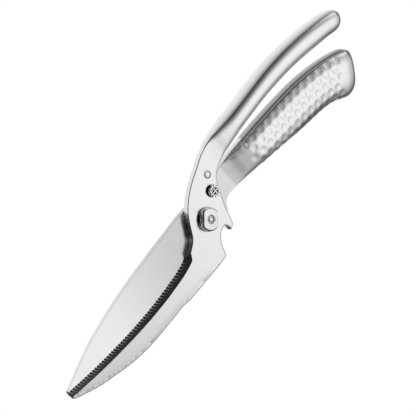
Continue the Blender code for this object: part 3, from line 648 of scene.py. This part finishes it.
# the body they ride on, their finish slot, material and the angle up to which they shade smooth, then nodes
PIECES = (
    ("front_lever", "blade_steel", FRONT_BLADE_STEEL, 12.0, "front_blade"),
    ("rear_lever", "blade_steel", BLADE_STEEL, 12.0, "rear_blade"),
    ("front_lever", "grip_steel", GRIP_STEEL, 35.0, "upper_grip_shell upper_grip_liner"),
    ("rear_lever", "hammered_steel", HAMMERED_STEEL, 60.0, "lower_grip_shell"),
    ("rear_lever", "grip_steel", LINER_SHADED_STEEL, 35.0, "lower_grip_liner"),
    ("rear_lever", "pivot_steel", PIVOT_STEEL, 35.0, "pivot_head pivot_rivet pivot_stud"),
    ("front_lever", "pivot_steel", PIVOT_STEEL, 35.0, "catch_rivet"),
    ("catch", "lock_steel", LOCK_STEEL, 35.0, "lock_knob"),
    ("catch", "lock_steel", SCREW_STEEL, 35.0, "lock_knob_screw"),
)


# --- blades
def outer_face(x):
    """Height of a plate's outer face: flat, then thinning evenly to the tip."""
    slope = (PLATE_FACE - TIP_FACE) / (TAPER_START_X - TIP_X)
    soft = 2.5
    past = soft * np.logaddexp(0, (TAPER_START_X - x) / soft)
    return PLATE_FACE - slope * past


def teeth(along, across):
    """Depth of the serration's grooves; along is in mm, across is 0 at the edge and 1 at the ridge."""
    phase = along / TEETH_PITCH + across * 0.25
    off = np.abs(phase - np.round(phase)) * TEETH_PITCH
    depth = TEETH_DEPTH * np.maximum(0, 1 - across / TEETH_REACH)
    return np.maximum(0, depth - off * TEETH_DEPTH / (TEETH_PITCH * 0.46))


def lever_plate(shape, run, edge_span, narrow_end, spine_crown, teeth_on, holes, face_spacing):
    """The flat part of a lever, open at the join. Returns the section that the shoulder takes over.

    run is the outline from the join, along the edge, round the tip and back. The outer face is on +z.
    """
    count = len(run)
    first, last = edge_span
    normal = inward(run, closed=False)
    normal[0], normal[-1] = (0.0, -1.0), (0.0, 1.0)
    normal[last] = unit(run[last + 1] - run[last])
    travel = travelled(run)
    on_edge = np.arange(count) <= last
    ground, groove_on = (smooth(travel - travel[first], *fade) * on_edge for fade in (BEVEL_FADE, TEETH_FADE))
    groove_on = groove_on * teeth_on

    def ring(inset, height):
        return shape.level(run + normal * inset[:, None], height)

    rings = []
    past_end = travel - travel[last]
    rim_width = RIM + (BACK_RIM - RIM) * smooth(past_end, 4.0, 10.0)
    width = BEVEL_WIDTH * (1 - narrow_end * smooth(past_end, -6.0, 0.0))
    face = outer_face(run[:, 0])
    bite = groove_on * teeth(travel, np.zeros(count))
    foot = FOOT * (1 - 0.85 * ground)
    for a in (0.0, math.pi / 4, math.pi / 2):
        rings.append(ring(bite * 0.8 + foot * (1 - math.sin(a)), PLATE_GAP + foot * (1 - math.cos(a))))
    wall_low = PLATE_GAP + foot
    wall_high = (face - RIM) * (1 - ground) + (PLATE_GAP + EDGE_LAND) * ground
    for share in (0.15, 0.3, 0.45, 0.6, 0.75, 0.9):
        rings.append(ring(bite * (0.8 + 0.2 * share), wall_low + (wall_high - wall_low) * share))
    rise = face - PLATE_GAP - EDGE_LAND
    slant = np.hypot(BEVEL_WIDTH, rise)
    for t in np.linspace(0, 1, 11):
        a = math.pi / 2 * t
        rim_inset, rim_height = rim_width * (1 - math.cos(a)), face - RIM * (1 - math.sin(a))
        groove = groove_on * teeth(travel, np.full(count, t))
        inset = t * width + groove * rise / slant
        z = PLATE_GAP + np.maximum(EDGE_LAND + t * rise - groove * BEVEL_WIDTH / slant, 0.02)
        rings.append(ring(rim_inset * (1 - ground) + inset * ground, rim_height * (1 - ground) + z * ground))
    shape.skin(rings, closed=False)

    def height(x, y):
        z = outer_face(x)
        if spine_crown:
            reach, drop = spine_crown
            back = run[last:]
            gap = clearance(np.c_[x, y], back[:: max(1, len(back) // 300)])
            z = z - drop * np.maximum(0, 1 - gap / reach) ** 2 * smooth(-x, 6.0, 30.0)
        return z

    def across_join(low, high):
        (_x, y_low, z), (_x, y_high, _z) = shape.points[low], shape.points[high]
        return shape.ring([(JOIN_X, y, z) for y in np.linspace(y_low, y_high, 42)[1:-1]])

    bottom_end, top_end = [r[-1] for r in rings], [r[0] for r in rings]
    outer_mid = across_join(bottom_end[-1], top_end[-1])
    inner_mid = across_join(bottom_end[0], top_end[0])
    outer_loops, inner_loops = [rings[-1] + outer_mid], [rings[0] + inner_mid]
    for hole in holes:
        outer_loop, inner_loop = hole(shape)
        outer_loops.append(outer_loop)
        if inner_loop:
            inner_loops.append(inner_loop)
    shape.cap(outer_loops, height, face_spacing)
    shape.cap(inner_loops)
    return bottom_end + outer_mid + top_end[::-1] + inner_mid[::-1]


def shoulder(shape, section, stations, marks=None, steps=58):
    """Carry the join's closed section on to the handle's, one ring at a time."""
    base = np.array([shape.points[i] for i in section])[:, 1:]
    middle = (base.max(axis=0) + base.min(axis=0)) / 2
    half = (base.max(axis=0) - base.min(axis=0)) / 2
    u, w = ((base - middle) / half).T
    angle = np.arctan2(signed_power(w, BLEND_SQUARENESS), signed_power(u, BLEND_SQUARENESS))
    t_join = (JOIN_X - stations[0][0]) / (stations[1][0] - stations[0][0])
    rings = []
    for share in np.arange(1, steps + 1) / steps:
        station = catmull_rom(stations, t_join + (SEAM_STATION - t_join) * share)
        xt, yt, xb, yb, low, high, power = station
        blend = smooth(share, 0.0, 0.55)
        settled = smooth(share, 0.0, 0.3)
        z_middle = (high + low) / 2 * settled + middle[1] * (1 - settled)
        z_half = (high - low) / 2 * settled + half[1] * (1 - settled)
        uu = u * (1 - blend) + signed_power(np.cos(angle), 2 / power) * blend
        ww = w * (1 - blend) + signed_power(np.sin(angle), 2 / power) * blend
        x = xt + (xb - xt) * (1 - uu) / 2
        rings.append(np.c_[x, (yt + yb) / 2 + (yt - yb) / 2 * uu, z_middle + z_half * ww])
    if marks is not None:
        rings = hammered(np.array(rings), marks)
    rings = [section] + [shape.ring(points) for points in rings]
    shape.skin(rings)
    shape.faces.append(tuple(rings[-1]))


def hole(loop, floor=PLATE_GAP, rim=HOLE_RIM, bore=None, blind=False):
    """A hole with a broken rim: right through a plate, on to a smaller bore, or blind."""

    def make(shape):
        points = loop[::-1]
        normal, z = inward(points), outer_face(points[:, 0])
        rings = []
        for a in np.linspace(0, math.pi / 2, 6 if bore is not None else 5):
            rings.append(shape.level(points + normal * (rim * (1 - math.sin(a))), z - rim * (1 - math.cos(a))))
        rings.append(shape.level(points, floor))
        if bore is not None:
            rings += [shape.level(bore[::-1], floor), shape.level(bore[::-1], PLATE_GAP)]
        shape.skin(rings)
        if blind:
            shape.faces.append(tuple(rings[-1]))
        return rings[0], None if blind else rings[-1]

    return make


def slot_loop(half, travel, count=24):
    """Rounded slot that the knob slides in."""
    a = np.linspace(-math.pi / 2, math.pi / 2, count)
    end = np.c_[travel / 2 + half * np.cos(a), half * np.sin(a)]
    along = np.array((math.cos(FLATS_ANGLE), math.sin(FLATS_ANGLE)))
    return turned(np.vstack([end, -end]), FLATS_ANGLE, KNOB - along * SLOT_TRAVEL / 2)


def cut_run(points):
    """An outline's open run: it starts on the join at the top and ends on it at the bottom."""
    step = np.roll(points, -1, axis=0) - points
    short = JOIN_X - points[:, 0]
    at = np.flatnonzero(short * (short - step[:, 0]) < 0)
    where = points[at] + step[at] * (short[at] / step[at, 0])[:, None]
    top, bottom = np.argmax(where[:, 1]), np.argmin(where[:, 1])
    order = at[top] + 1 + np.arange((at[bottom] - at[top]) % len(points))
    return np.vstack([where[top], points[order % len(points)], where[bottom]])


def without_end_columns(run, last, reach):
    """Leave out the outline's points between the edge's end and the ridge's end."""
    gone = np.linalg.norm(run - run[last], axis=1) < reach
    gone[: last + 1] = False
    return run[~gone]


def nearest(run, spot):
    return int(np.argmin(np.hypot(run[:, 0] - spot[0], run[:, 1] - spot[1])))


def scalloped(run, first, last):
    """Shallow scaling teeth along the back of the blade, near its tip."""
    run = run.copy()
    normal = inward(run, closed=False)
    travel = travelled(run)
    start, stop = travel[first], travel[last]
    phase = (travel - start) / SCALLOP_PITCH % 1.0
    on = (travel > start) & (travel < stop)
    bump = SCALLOP_HEIGHT * np.where(phase < SCALLOP_RISE, phase / SCALLOP_RISE, (1 - phase) / (1 - SCALLOP_RISE))
    bump = bump * smooth(travel, start, start + 9.0) * (1 - smooth(travel, stop - 4.0, stop))
    run[on] -= normal[on] * bump[on, None]
    return run


def swung(points, degrees):
    """Points of the catch after it has swung about its rivet."""
    return turned(np.asarray(points) - CATCH_PIVOT, math.radians(degrees), CATCH_PIVOT)


def front_blade():
    def spacing(p):
        toothed = p[0] < -17 and p[1] > -8 + max(0, (-p[0] - 70) * 0.12)
        return 0.13 if toothed else 0.4

    run = even(cut_run(outline(FRONT_TOP + FRONT_EDGE + FRONT_BACK + OPENER_NOTCH + FRONT_NECK)), spacing)
    first = nearest(run, (-16.5, 0.5))
    last = nearest(run, FRONT_EDGE[-1])
    run = scalloped(run, nearest(run, (-126.5, -6.3)), nearest(run, (-104.0, -14.3)))
    run = without_end_columns(run, last, BEVEL_WIDTH + 0.3)
    gap = np.linalg.norm(run - run[nearest(run, OPENER_NOTCH[-1])], axis=1)
    run = run[(gap > 0.7) | (gap < 0.01)]  # the hook keeps a clean corner
    holes = [
        hole(circle(PIVOT, RECESS_R, 96), RECESS_FLOOR, 0.3, circle(PIVOT, BORE_R, 96)),
        hole(slot_loop(SLOT_HALF, SLOT_TRAVEL)),
        hole(circle(CATCH_PIVOT, CATCH_RIVET_R, 48), 1.0, 0.25, blind=True),
    ]
    shape = Shape()
    section = lever_plate(shape, run, (first, last), 0.0, (5.5, 0.5), 1.0, holes, 0.9)
    shoulder(shape, section, UPPER_STATIONS)
    place("front_blade", shape, pocket_cutters())


def catch_outline(grow, tip):
    """Rounded bar from the catch rivet past the knob to the nose."""
    spots = [(CATCH_PIVOT, 3.0 + grow), (KNOB, 2.9 + grow), (NOSE, tip + grow)]
    knots = []
    for ordered in (spots, spots[::-1]):
        for i, (spot, radius) in enumerate(ordered):
            along = (Vector(ordered[min(i + 1, 2)][0]) - Vector(ordered[max(i - 1, 0)][0])).normalized()
            knots.append(tuple(Vector(spot) + Vector((-along.y, along.x)) * radius))
        knots.append(tuple(Vector(spot) + along * radius))
    return knots


def pocket_cutters():
    """Room for the catch as it swings, and the stop post's hole."""
    loop = outline(catch_outline(0.5, 1.75), 8)
    cutters = [cutter(f"pocket_{k}", swung(loop, -8.0 * k), -1.0, POCKET_CEILING) for k in range(3)]
    radius, angle = POST_SPOT
    spot = (PIVOT[0] + radius * math.cos(angle), PIVOT[1] + radius * math.sin(angle))
    return cutters + [cutter("post_hole", circle(spot, POST_HOLE_R, 32), -1.0, POST_HOLE_TOP)]


def rear_blade():
    """Built as the mirror image of a front plate, then turned over."""

    def spacing(p):
        return 0.3 if p[0] < -8 and p[1] < -4 else 0.4

    knots = REAR_NECK_BOTTOM + arc_knots(*HUB) + REAR_EDGE + REAR_SPINE
    knots += arc_knots(*RELIEF) + arc_knots(*TOOTH) + NOTCH + REAR_NECK_TOP
    mirrored = (outline(knots) * (1, -1))[::-1]
    run = even(cut_run(mirrored), spacing)
    first = nearest(run, (-19.0, 9.05))
    last = nearest(run, (-128.9, 4.3))
    run = without_end_columns(run, last, 2.35)
    bore = hole(circle((PIVOT[0], -PIVOT[1]), REAR_BORE_R, 96), rim=0.05)
    shape = Shape()
    section = lever_plate(shape, run, (first, last), 0.3, None, 0.0, [bore], 1.6)
    stations = [(xb, -yb, xt, -yt, -high, -low, p) for xt, yt, xb, yb, low, high, p in LOWER_STATIONS]
    shoulder(shape, section, stations, dimple_centres() * (1, -1, -1))
    shape.points = [(x, -y, -z) for x, y, z in shape.points]
    place("rear_blade", shape, rear_cutters())


def rear_cutters():
    """The nose pin's way into its notch, the coil's pocket and the stop post's groove."""
    cutters = []
    for k in range(5):
        spot = swung([NOSE], -4.0 * k)[0]
        cutters.append(cutter(f"pin_path_{k}", circle(spot, PIN_WAY_R, 40), -8.0, 3.0))
    cutters.append(cutter("coil_pocket", circle(PIVOT, COIL_POCKET_R, 72), COIL_POCKET_LOW, 1.0))
    angles = np.radians(np.linspace(*POST_GROOVE_ANGLES, 16))
    inner, outer = (radius * np.c_[np.cos(angles), np.sin(angles)] for radius in POST_GROOVE)
    groove = np.vstack([outer, inner[::-1]]) + PIVOT
    return cutters + [cutter("post_groove", groove, POST_GROOVE_LOW, 1.0)]


# --- handles
def section_curve(station, inset, flip, count=480):
    """Dense points round one station, with the arc length and the height's share at each."""
    xt, yt, xb, yb, low, high, power = station
    top, bottom = np.array((xt, yt)), np.array((xb, yb))
    if flip:
        top, bottom = bottom, top
    middle = (top + bottom) / 2
    span = np.linalg.norm(top - bottom)
    across = (top - bottom) / span
    half = max(span / 2 - inset, 0.2)
    half_z = max((high - low) / 2 - inset, 0.2)
    a = np.linspace(0, 2 * math.pi, count + 1)
    u = half * signed_power(np.cos(a), 2 / power)
    w = half_z * signed_power(np.sin(a), 2 / power)
    points = np.c_[middle + across * u[:, None], (high + low) / 2 + w]
    return points, travelled(points), w / half_z


def at_lengths(points, length, where):
    where = np.mod(where, length[-1])
    return np.stack([np.interp(where, length, points[:, i]) for i in range(3)], axis=1)


def seam_length(length, level, share):
    """Arc length from the liner's middle to the seam."""
    quarter = len(length) // 4
    return float(np.interp(share, level[: quarter + 1], length[: quarter + 1]))


def grip_rows(total, seam, row_step):
    """Arc lengths of the rows, first round the shell, then over the liner."""
    lips = np.array(LIP)
    rows = []
    for a, b, round_ in ((seam, total - seam, SHELL_ROUND), (total - seam, total + seam, LINER_ROUND)):
        between = np.linspace(a + PAST_LIP, b - PAST_LIP, int(round_ / row_step))
        rows.append(np.r_[a + lips, between, b - lips[::-1]])
    return rows


def grip_piece(side, is_shell, ring_step, row_step, dimples=None):
    """The shell or the liner strip of a hollow handle, as a closed sheet-metal solid."""
    stations, flip, share, liner_stop = GRIPS[side]
    last = len(stations) - 1
    length_mm = stations[-1][0] - SEAM_X
    per_mm = (last - SEAM_STATION) / length_mm  # stations in a millimetre
    mouth = SEAM_STATION + MOUTH_GAP / (stations[SEAM_STATION + 1][0] - SEAM_X)
    grow = SEAM_HALF if is_shell else -SEAM_HALF
    edge_t = liner_stop * last + grow * per_mm
    ts = np.linspace(mouth, last, int(length_mm / ring_step))
    lips_t = np.array(LIP) * per_mm
    if is_shell:
        ts = np.unique(np.r_[ts[np.abs(ts - edge_t) > 0.45 * per_mm], edge_t + lips_t])
    else:
        ts = np.unique(np.r_[ts[ts < edge_t - 0.45 * per_mm], edge_t - lips_t])

    outer, inner = [], []
    for t in ts:
        station = catmull_rom(stations, t)
        points, length, level = section_curve(station, 0.0, flip)
        seam = seam_length(length, level, share) + grow
        shell, liner = grip_rows(length[-1], seam, row_step)
        columns = len(shell)
        if is_shell:
            rows = np.r_[shell, liner]
            edge_gap = np.minimum(np.abs(rows - seam), np.abs(rows - (length[-1] - seam)))
            edge_gap[columns:] = FAR
            if t >= edge_t:
                edge_gap[:columns] = FAR
                edge_gap[columns:] = np.minimum(FAR, (t - edge_t) / per_mm)
        else:
            rows = liner
            edge_gap = np.minimum(np.minimum(rows - rows[0], rows[-1] - rows), (edge_t - t) / per_mm)
        outer_ring = at_lengths(points, length, rows)
        points, thin_length, _level = section_curve(station, GRIP_WALL, flip)
        inner.append(at_lengths(points, thin_length, rows / length[-1] * thin_length[-1]))
        drop = LIP_DROP * np.maximum(0, 1 - edge_gap / LIP_REACH)[:, None] ** 2 / GRIP_WALL
        outer.append(outer_ring * (1 - drop) + inner[-1] * drop)
    outer = np.array(outer)
    if dimples is not None:
        outer = hammered(outer, dimples)
    shape = sheet_solid(outer, inner, ts, edge_t, is_shell, columns)
    place(f"{side}_grip_{'shell' if is_shell else 'liner'}", shape)


def sheet_solid(outer, inner, ts, edge_t, is_shell, shell_columns):
    """Close a sheet: outer face, inner face, and walls wherever the sheet ends."""
    shape = Shape()
    rows, columns = outer.shape[:2]
    out_ids = [shape.ring(ring) for ring in outer]
    in_ids = [shape.ring(ring) for ring in inner]
    cavity = max(i for i, t in enumerate(ts) if t <= ts[-1] - BUTT_WALL) if is_shell else rows - 1

    def present(i, k):
        """Whether the sheet covers the patch after ring i and column k."""
        if not 0 <= i < rows - 1:
            return False
        if not is_shell:
            return 0 <= k < columns - 1
        over_liner = shell_columns - 1 <= k % columns < columns - 1
        return not over_liner or ts[i] >= edge_t - 1e-9

    def wall(i, k, i2, k2):
        shape.faces.append((out_ids[i][k], out_ids[i2][k2], in_ids[i2][k2], in_ids[i][k]))

    for i in range(rows - 1):
        for k in range(columns if is_shell else columns - 1):
            if not present(i, k):
                continue
            j = (k + 1) % columns
            shape.faces.append((out_ids[i][k], out_ids[i][j], out_ids[i + 1][j], out_ids[i + 1][k]))
            if not present(i - 1, k):
                wall(i, k, i, j)
            if not present(i + 1, k) and not (is_shell and i == rows - 2):
                wall(i + 1, k, i + 1, j)
            if i < cavity:
                shape.faces.append((in_ids[i][k], in_ids[i + 1][k], in_ids[i + 1][j], in_ids[i][j]))
                if not present(i, k - 1):
                    wall(i, k, i + 1, k)
                if not present(i, k + 1):
                    wall(i, j, i + 1, j)
    if is_shell:
        shape.faces.append(tuple(in_ids[cavity]))
        close_butt(shape, out_ids[-1])
    return shape


def close_butt(shape, ring):
    """Round the butt off with shrinking rings."""
    points = np.array([shape.points[i] for i in ring])
    centre = points.mean(axis=0)
    spread = points - centre
    out = np.cross(spread[0], spread[len(spread) // 4])
    out = out / np.linalg.norm(out) * np.sign(out[0])
    rings = [ring]
    for share, lift in ((0.9, 0.18), (0.72, 0.34), (0.5, 0.45), (0.25, 0.5)):
        rings.append(shape.ring(centre + spread * share + out * lift))
    shape.skin(rings)
    shape.faces.append(tuple(rings[-1]))


def dimple_centres():
    """Hammer marks in staggered rows that follow the liner's seam on both sides of the handle."""
    stations, flip, share, _stop = GRIPS["lower"]
    centres = []
    for row in range(7):
        reach = DIMPLE_FIRST_ROW + DIMPLE_ROW * row
        for n in range(-1, 13):
            along = n + (0.5 if row % 2 else 0.0)
            t = station_at(stations, DIMPLE_START_X + DIMPLE_PITCH * along - DIMPLE_CLOSING * along * along)
            points, length, level = section_curve(catmull_rom(stations, t), 0.0, flip)
            where = seam_length(length, level, share) + reach
            if where > length[-1] / 2 - 1.6 or t > DIMPLE_LAST_STATION:
                continue
            centres += list(at_lengths(points, length, np.array([where, length[-1] - where])))
    return np.array(centres)


def station_at(stations, x):
    """Station number whose middle lies at x."""
    ts = np.linspace(0, len(stations) - 1, 400)
    middles = [(s[0] + s[2]) / 2 for s in (catmull_rom(stations, t) for t in ts)]
    return float(np.interp(x, middles, ts))


def hammered(grid, centres):
    """Press a round dimple into the closed rings of the surface at each centre."""
    along = np.gradient(grid, axis=0)
    around = (np.roll(grid, -1, axis=1) - np.roll(grid, 1, axis=1)) / 2
    normal = unit(np.cross(along, around))
    outward = grid - grid.mean(axis=1, keepdims=True)
    normal *= np.sign(np.sum(normal * outward, axis=2, keepdims=True))
    flat = grid.reshape(-1, 3)
    depth = np.zeros(len(flat))
    for c in centres:
        q = np.sum((flat - c) ** 2, axis=1) / DIMPLE_R**2
        near = q < 1
        depth[near] = np.maximum(depth[near], DIMPLE_DEPTH * (1 - q[near]) ** 1.25)
    return grid - normal * depth.reshape(grid.shape[:2])[..., None]


def grips():
    grip_piece("upper", True, 0.7, 0.55)
    grip_piece("upper", False, 0.7, 0.5)
    grip_piece("lower", True, 0.36, 0.36, dimple_centres())
    grip_piece("lower", False, 0.7, 0.5)


# --- pivot and lock
def double_d(inset):
    """Round head with two flats, as a loop a little inside its outline."""
    half = HEAD_HALF_FLATS - inset
    local = circle((0, 0), HEAD_R - inset, 120)
    x = np.abs(local[:, 0])
    soft = 0.35
    flat = half - soft * 0.5 * np.exp(-np.maximum(x - half + soft, 0) / soft)
    local[:, 0] = np.sign(local[:, 0]) * np.where(x - half > -soft, flat, x)
    return turned(local, FLATS_ANGLE, PIVOT)


def pivot_head():
    """The turned head: two flats, a broken rim and fine facing rings."""
    shape = Shape()
    loop = double_d(0.0)
    low, flat_top = RECESS_FLOOR + 0.35, HEAD_TOP - 0.4

    def top(x, y):
        r = np.hypot(x - PIVOT[0], y - PIVOT[1])
        dome = HEAD_TOP - 0.45 * (r / HEAD_R) ** 2
        return dome + FACING_HEIGHT * np.cos(2 * math.pi * r / FACING_PITCH)

    rings = [shape.level(loop + inward(loop) * 0.1, low), shape.level(loop, low + 0.1)]
    rings.append(shape.level(loop, flat_top - 0.95))
    for share in (0.0, 0.12, 0.5, 0.88):
        rings.append(shape.level(double_d(CHAMFER * share), flat_top - 0.9 + 0.8 * share))
    rim = double_d(CHAMFER)
    rings.append(shape.level(rim, top(*rim.T)))
    shape.skin(rings)
    bore = circle(PIVOT, RIVET_R + 0.06, 64)[::-1]
    mouth = bore + inward(bore) * 0.35
    bore_rings = [shape.level(mouth, top(*mouth.T)), shape.level(bore, HEAD_TOP - 0.55), shape.level(bore, low)]
    shape.skin(bore_rings)
    radii = np.arange(2.8, 6.0, 0.2)
    dots = np.vstack([circle((0, 0), r, 72, (i % 2) * 0.04) for i, r in enumerate(radii)])
    across = np.abs(turned(dots, -FLATS_ANGLE, (0, 0))[:, 0])
    dots = dots[(np.hypot(*dots.T) < HEAD_R - 0.95) & (across < HEAD_HALF_FLATS - 0.9)] + PIVOT
    shape.cap([rings[-1], bore_rings[0]], top, extra=dots)
    shape.cap([rings[0], bore_rings[-1]])
    place("pivot_head", shape)


def rounded_profile(corners, radius=0.2, steps=4):
    """A turned profile whose inner corners are rounded; the end points stay."""
    out = [corners[0]]
    for before, at, after in zip(corners, corners[1:], corners[2:]):
        a, b, c = Vector(before), Vector(at), Vector(after)
        r = min(radius, (a - b).length * 0.45, (c - b).length * 0.45)
        p, q = b + (a - b).normalized() * r, b + (c - b).normalized() * r
        for k in range(steps + 1):
            t = k / steps
            spot = p * (1 - t) ** 2 + b * 2 * t * (1 - t) + q * t * t
            out.append((spot.x, spot.y))
    out.append(corners[-1])
    return out


def rounded_ring(corners, radius):
    """The same for a profile that closes on itself."""
    return rounded_profile(corners + corners[:1], radius)[1:]


def pivot_small_parts():
    top, low = RIVET_TOP, STUD_FLANGE_LOW
    rivet = [(0.0, top), (0.7, top), (1.5, top - 0.3), (RIVET_R - 0.1, top - 0.95), (RIVET_R, top - 1.1)]
    rivet += [(RIVET_R, low - 0.05), (3.3, low - 0.05), (3.0, low - 0.45), (0.0, low - 0.65)]
    lathe("pivot_rivet", rounded_profile(rivet, 0.3), PIVOT)
    stud = [(2.25, 2.6), (3.5, 2.6), (3.5, -4.55), (6.4, -4.55), (6.4, low), (2.25, low)]
    lathe("pivot_stud", rounded_ring(stud, 0.35), PIVOT, closed=True)
    small = [(0.0, 4.5), (1.2, 4.45), (2.0, 4.12), (2.0, 2.15), (1.75, 1.85), (1.75, 0.33)]
    small += [(2.5, 0.33), (2.5, 0.17), (0.0, 0.17)]
    lathe("catch_rivet", rounded_profile(small, 0.12), CATCH_PIVOT, 64)


def lock_knob():
    """Knurled knob: notches round its rim and a counterbore for the screw."""
    profile = [(1.15, KNOB_FACE - 0.9), (2.2, KNOB_FACE - 0.9), (2.2, KNOB_FACE), (3.45, KNOB_FACE)]
    profile += [(3.45, 4.55), (KNOB_NECK_R, 4.45), (KNOB_NECK_R, 1.46), (1.15, 1.46)]
    profile = rounded_ring(profile, 0.25)
    dense = []
    for (r1, z1), (r2, z2) in zip(profile, profile[1:] + profile[:1]):
        dense.append((r1, z1))
        if math.hypot(r1 - r2, z1 - z2) > 0.6:
            dense += [(r1 + (r2 - r1) * k / 6, z1 + (z2 - z1) * k / 6) for k in range(1, 6)]

    def knurl(p):
        dx, dy, z = p[0] - KNOB[0], p[1] - KNOB[1], p[2]
        r = math.hypot(dx, dy)
        if r < 2.4:
            return p
        a = math.atan2(dy, dx)
        notch = max(0.0, math.cos(KNOB_NOTCHES * a + 0.6)) ** 1.5 * smooth(r, 2.6, 3.3)
        keep = (r - 0.3 * notch) / r
        return (KNOB[0] + dx * keep, KNOB[1] + dy * keep, z - 0.45 * notch * smooth(z, 5.8, 6.2))

    lathe("lock_knob", dense, KNOB, 168, True, knurl)


def lock_screw():
    """Domed screw head with a cross recess."""
    face = KNOB_FACE
    profile = [(0.0, face + 0.25)]
    profile += [(r, face + 0.25 - 0.13 * (r / 1.9) ** 2) for r in np.linspace(0.1, 1.9, 22)]
    profile += [(1.98, face - 0.05), (2.0, face - 0.84), (1.05, face - 0.84), (1.05, 0.45), (0.0, 0.45)]

    def pockets(p):
        dx, dy, z = p[0] - KNOB[0], p[1] - KNOB[1], p[2]
        r = math.hypot(dx, dy)
        if z < face - 0.02 or r > 1.88:
            return p
        a = math.atan2(dy, dx) - FLATS_ANGLE + math.pi / 4
        off = min(abs(r * math.sin(a)), abs(r * math.cos(a)))
        return (p[0], p[1], z - 0.7 * smooth(off, 0.26, 0.38) * smooth(-r, -1.7, -1.5))

    lathe("lock_knob_screw", profile, KNOB, 160, False, pockets)


# --- carried-over solids
def carried_over():
    """Hidden and small solids keep their meshes; they get a finish, some a dark one that is painted shade, and
    broken edges.
    """
    finishes = (
        # painted shade: the parts inside get the darker copy of the steel
        (INNER_SHADED_STEEL, "upper_tang_spacer lower_tang_spacer stop_post pivot_washer_rear lock_nose_pin"),
        (SPRING_STEEL, "lock_wave_washer torsion_spring"),
        # painted shadow: the parts seen only through gaps are black
        (SHADE_BLACK_STEEL, "pivot_washer_front lock_catch"),
    )
    for material, names in finishes:
        for name in names.split():
            obj = frame["nodes"][name]
            obj.data.materials.clear()
            obj.data.materials.append(material)
            bevel = obj.modifiers.new("Broken edges", "BEVEL")
            bevel.width = 0.06 * MM
            bevel.segments = 2
            bevel.limit_method = "ANGLE"
            bevel.angle_limit = math.radians(40)


# --- studio
def camera_axes():
    heading, tilt = math.radians(OBJECT_AXIS), math.radians(CAMERA_TILT)
    sideways = Vector((math.cos(heading), -math.sin(heading), 0.0))
    up = Vector((math.sin(heading), math.cos(heading), 0.0))
    right = sideways * math.cos(tilt) + Vector((0, 0, math.sin(tilt)))
    back = -sideways * math.sin(tilt) + Vector((0, 0, math.cos(tilt)))
    return right, up, back


def add_camera():
    right, up, back = camera_axes()
    data = bpy.data.cameras.new("camera")
    data.type = "ORTHO"
    data.ortho_scale = PICTURE_WIDTH * MM
    data.clip_start, data.clip_end = 0.05, 20.0
    camera = linked("camera", data)
    aim = (Vector(TO_ROW) + right * AIM[0] + up * AIM[1]) * MM
    turn = Matrix((right, up, back)).transposed().to_4x4()
    camera.matrix_world = Matrix.Translation(aim + back * CAMERA_DISTANCE) @ turn
    bpy.context.scene.camera = camera


def add_world():
    """A dim studio with one big softbox to the right, brightest in its middle, and a card by the lens."""
    right, up, back = camera_axes()
    world = bpy.data.worlds.new("studio")
    bpy.context.scene.world = world
    graph = Graph(world)
    graph.nodes.clear()
    way = graph.nodes.new("ShaderNodeTexCoord").outputs["Generated"]
    off = graph.math("ARCCOSINE", graph.dot(way, right * 0.88 + up * 0.08 + back * 0.47))
    ramp = graph.nodes.new("ShaderNodeValToRGB")
    stops = [(0.0, 1.0), (0.09, 0.85), (0.156, 0.6), (0.24, 0.36), (0.30, 0.2)]
    stops += [(0.36, 0.14), (0.45, 0.07), (0.54, 0.035)]
    elements = ramp.color_ramp.elements
    while len(elements) < len(stops):
        elements.new(0.5)
    for element, (at, level) in zip(elements, stops):
        element.position = at
        element.color = (level, level, level, 1.0)
    graph.feed(ramp.inputs["Fac"], graph.math("DIVIDE", off, math.pi))
    light = graph.math("MULTIPLY", ramp.outputs["Color"], 1.36)
    low_box = graph.lobe(way, right * 0.58 - up * 0.50 + back * 0.64, 0.84, 0.98)
    top_box = graph.lobe(way, up * 0.9 + right * 0.44 + back * 0.03, 0.90, 0.97)
    dark_lens = graph.lobe(way, back * 0.92 + right * 0.1 - up * 0.36, 0.90, 0.97)
    card = graph.lobe(way, back, 0.985, 0.995)
    light = graph.plus(graph.plus(light, low_box, 0.1), top_box, 0.8)
    light = graph.plus(graph.dimmed(light, dark_lens, 0.85), card, 1.2)
    background = graph.add("Background", "Background", {"Strength": graph.white_to_camera(light)})
    graph.feed(graph.nodes.new("ShaderNodeOutputWorld").inputs["Surface"], background)


def add_floor():
    """A white sheet that glows though it is no lamp, as painted light: plain white to the camera, with no shadow
    on it, and for reflections brightest seen from straight above, dim at a slant.
    """
    right, up, _back = camera_axes()
    bm = bmesh.new()
    bmesh.ops.create_grid(bm, x_segments=1, y_segments=1, size=1.5)
    mesh = bpy.data.meshes.new("floor")
    bm.to_mesh(mesh)
    bm.free()
    floor = linked("floor", mesh)
    floor.location.z = cad_box[0].z - 0.4 * MM
    material = bpy.data.materials.new("white_sheet_painted_glow")
    graph = Graph(material)
    graph.nodes.clear()
    way = graph.nodes.new("ShaderNodeNewGeometry").outputs["Incoming"]
    # painted light: the floor's glow for reflections, shaped by direction
    steep = graph.math("ABSOLUTE", graph.add("SeparateXYZ", "Z", {"Vector": way}))
    light = graph.math("ADD", graph.math("MULTIPLY", steep, 0.85), 0.2)
    light = graph.dimmed(light, graph.lobe(way, -right, 0.15, 0.6), 0.65)
    light = graph.dimmed(light, graph.lobe(way, up * 0.94 + right * 0.35, 0.35, 0.55), 0.9)
    painted_floor_glow = graph.add("Emission", "Emission", {"Strength": graph.white_to_camera(light)})
    graph.feed(graph.nodes.new("ShaderNodeOutputMaterial").inputs["Surface"], painted_floor_glow)
    mesh.materials.append(material)


front_blade()
rear_blade()
grips()
pivot_head()
pivot_small_parts()
lock_knob()
lock_screw()
carried_over()
add_world()
add_floor()
add_camera()
bpy.context.scene.view_settings.view_transform = "Standard"
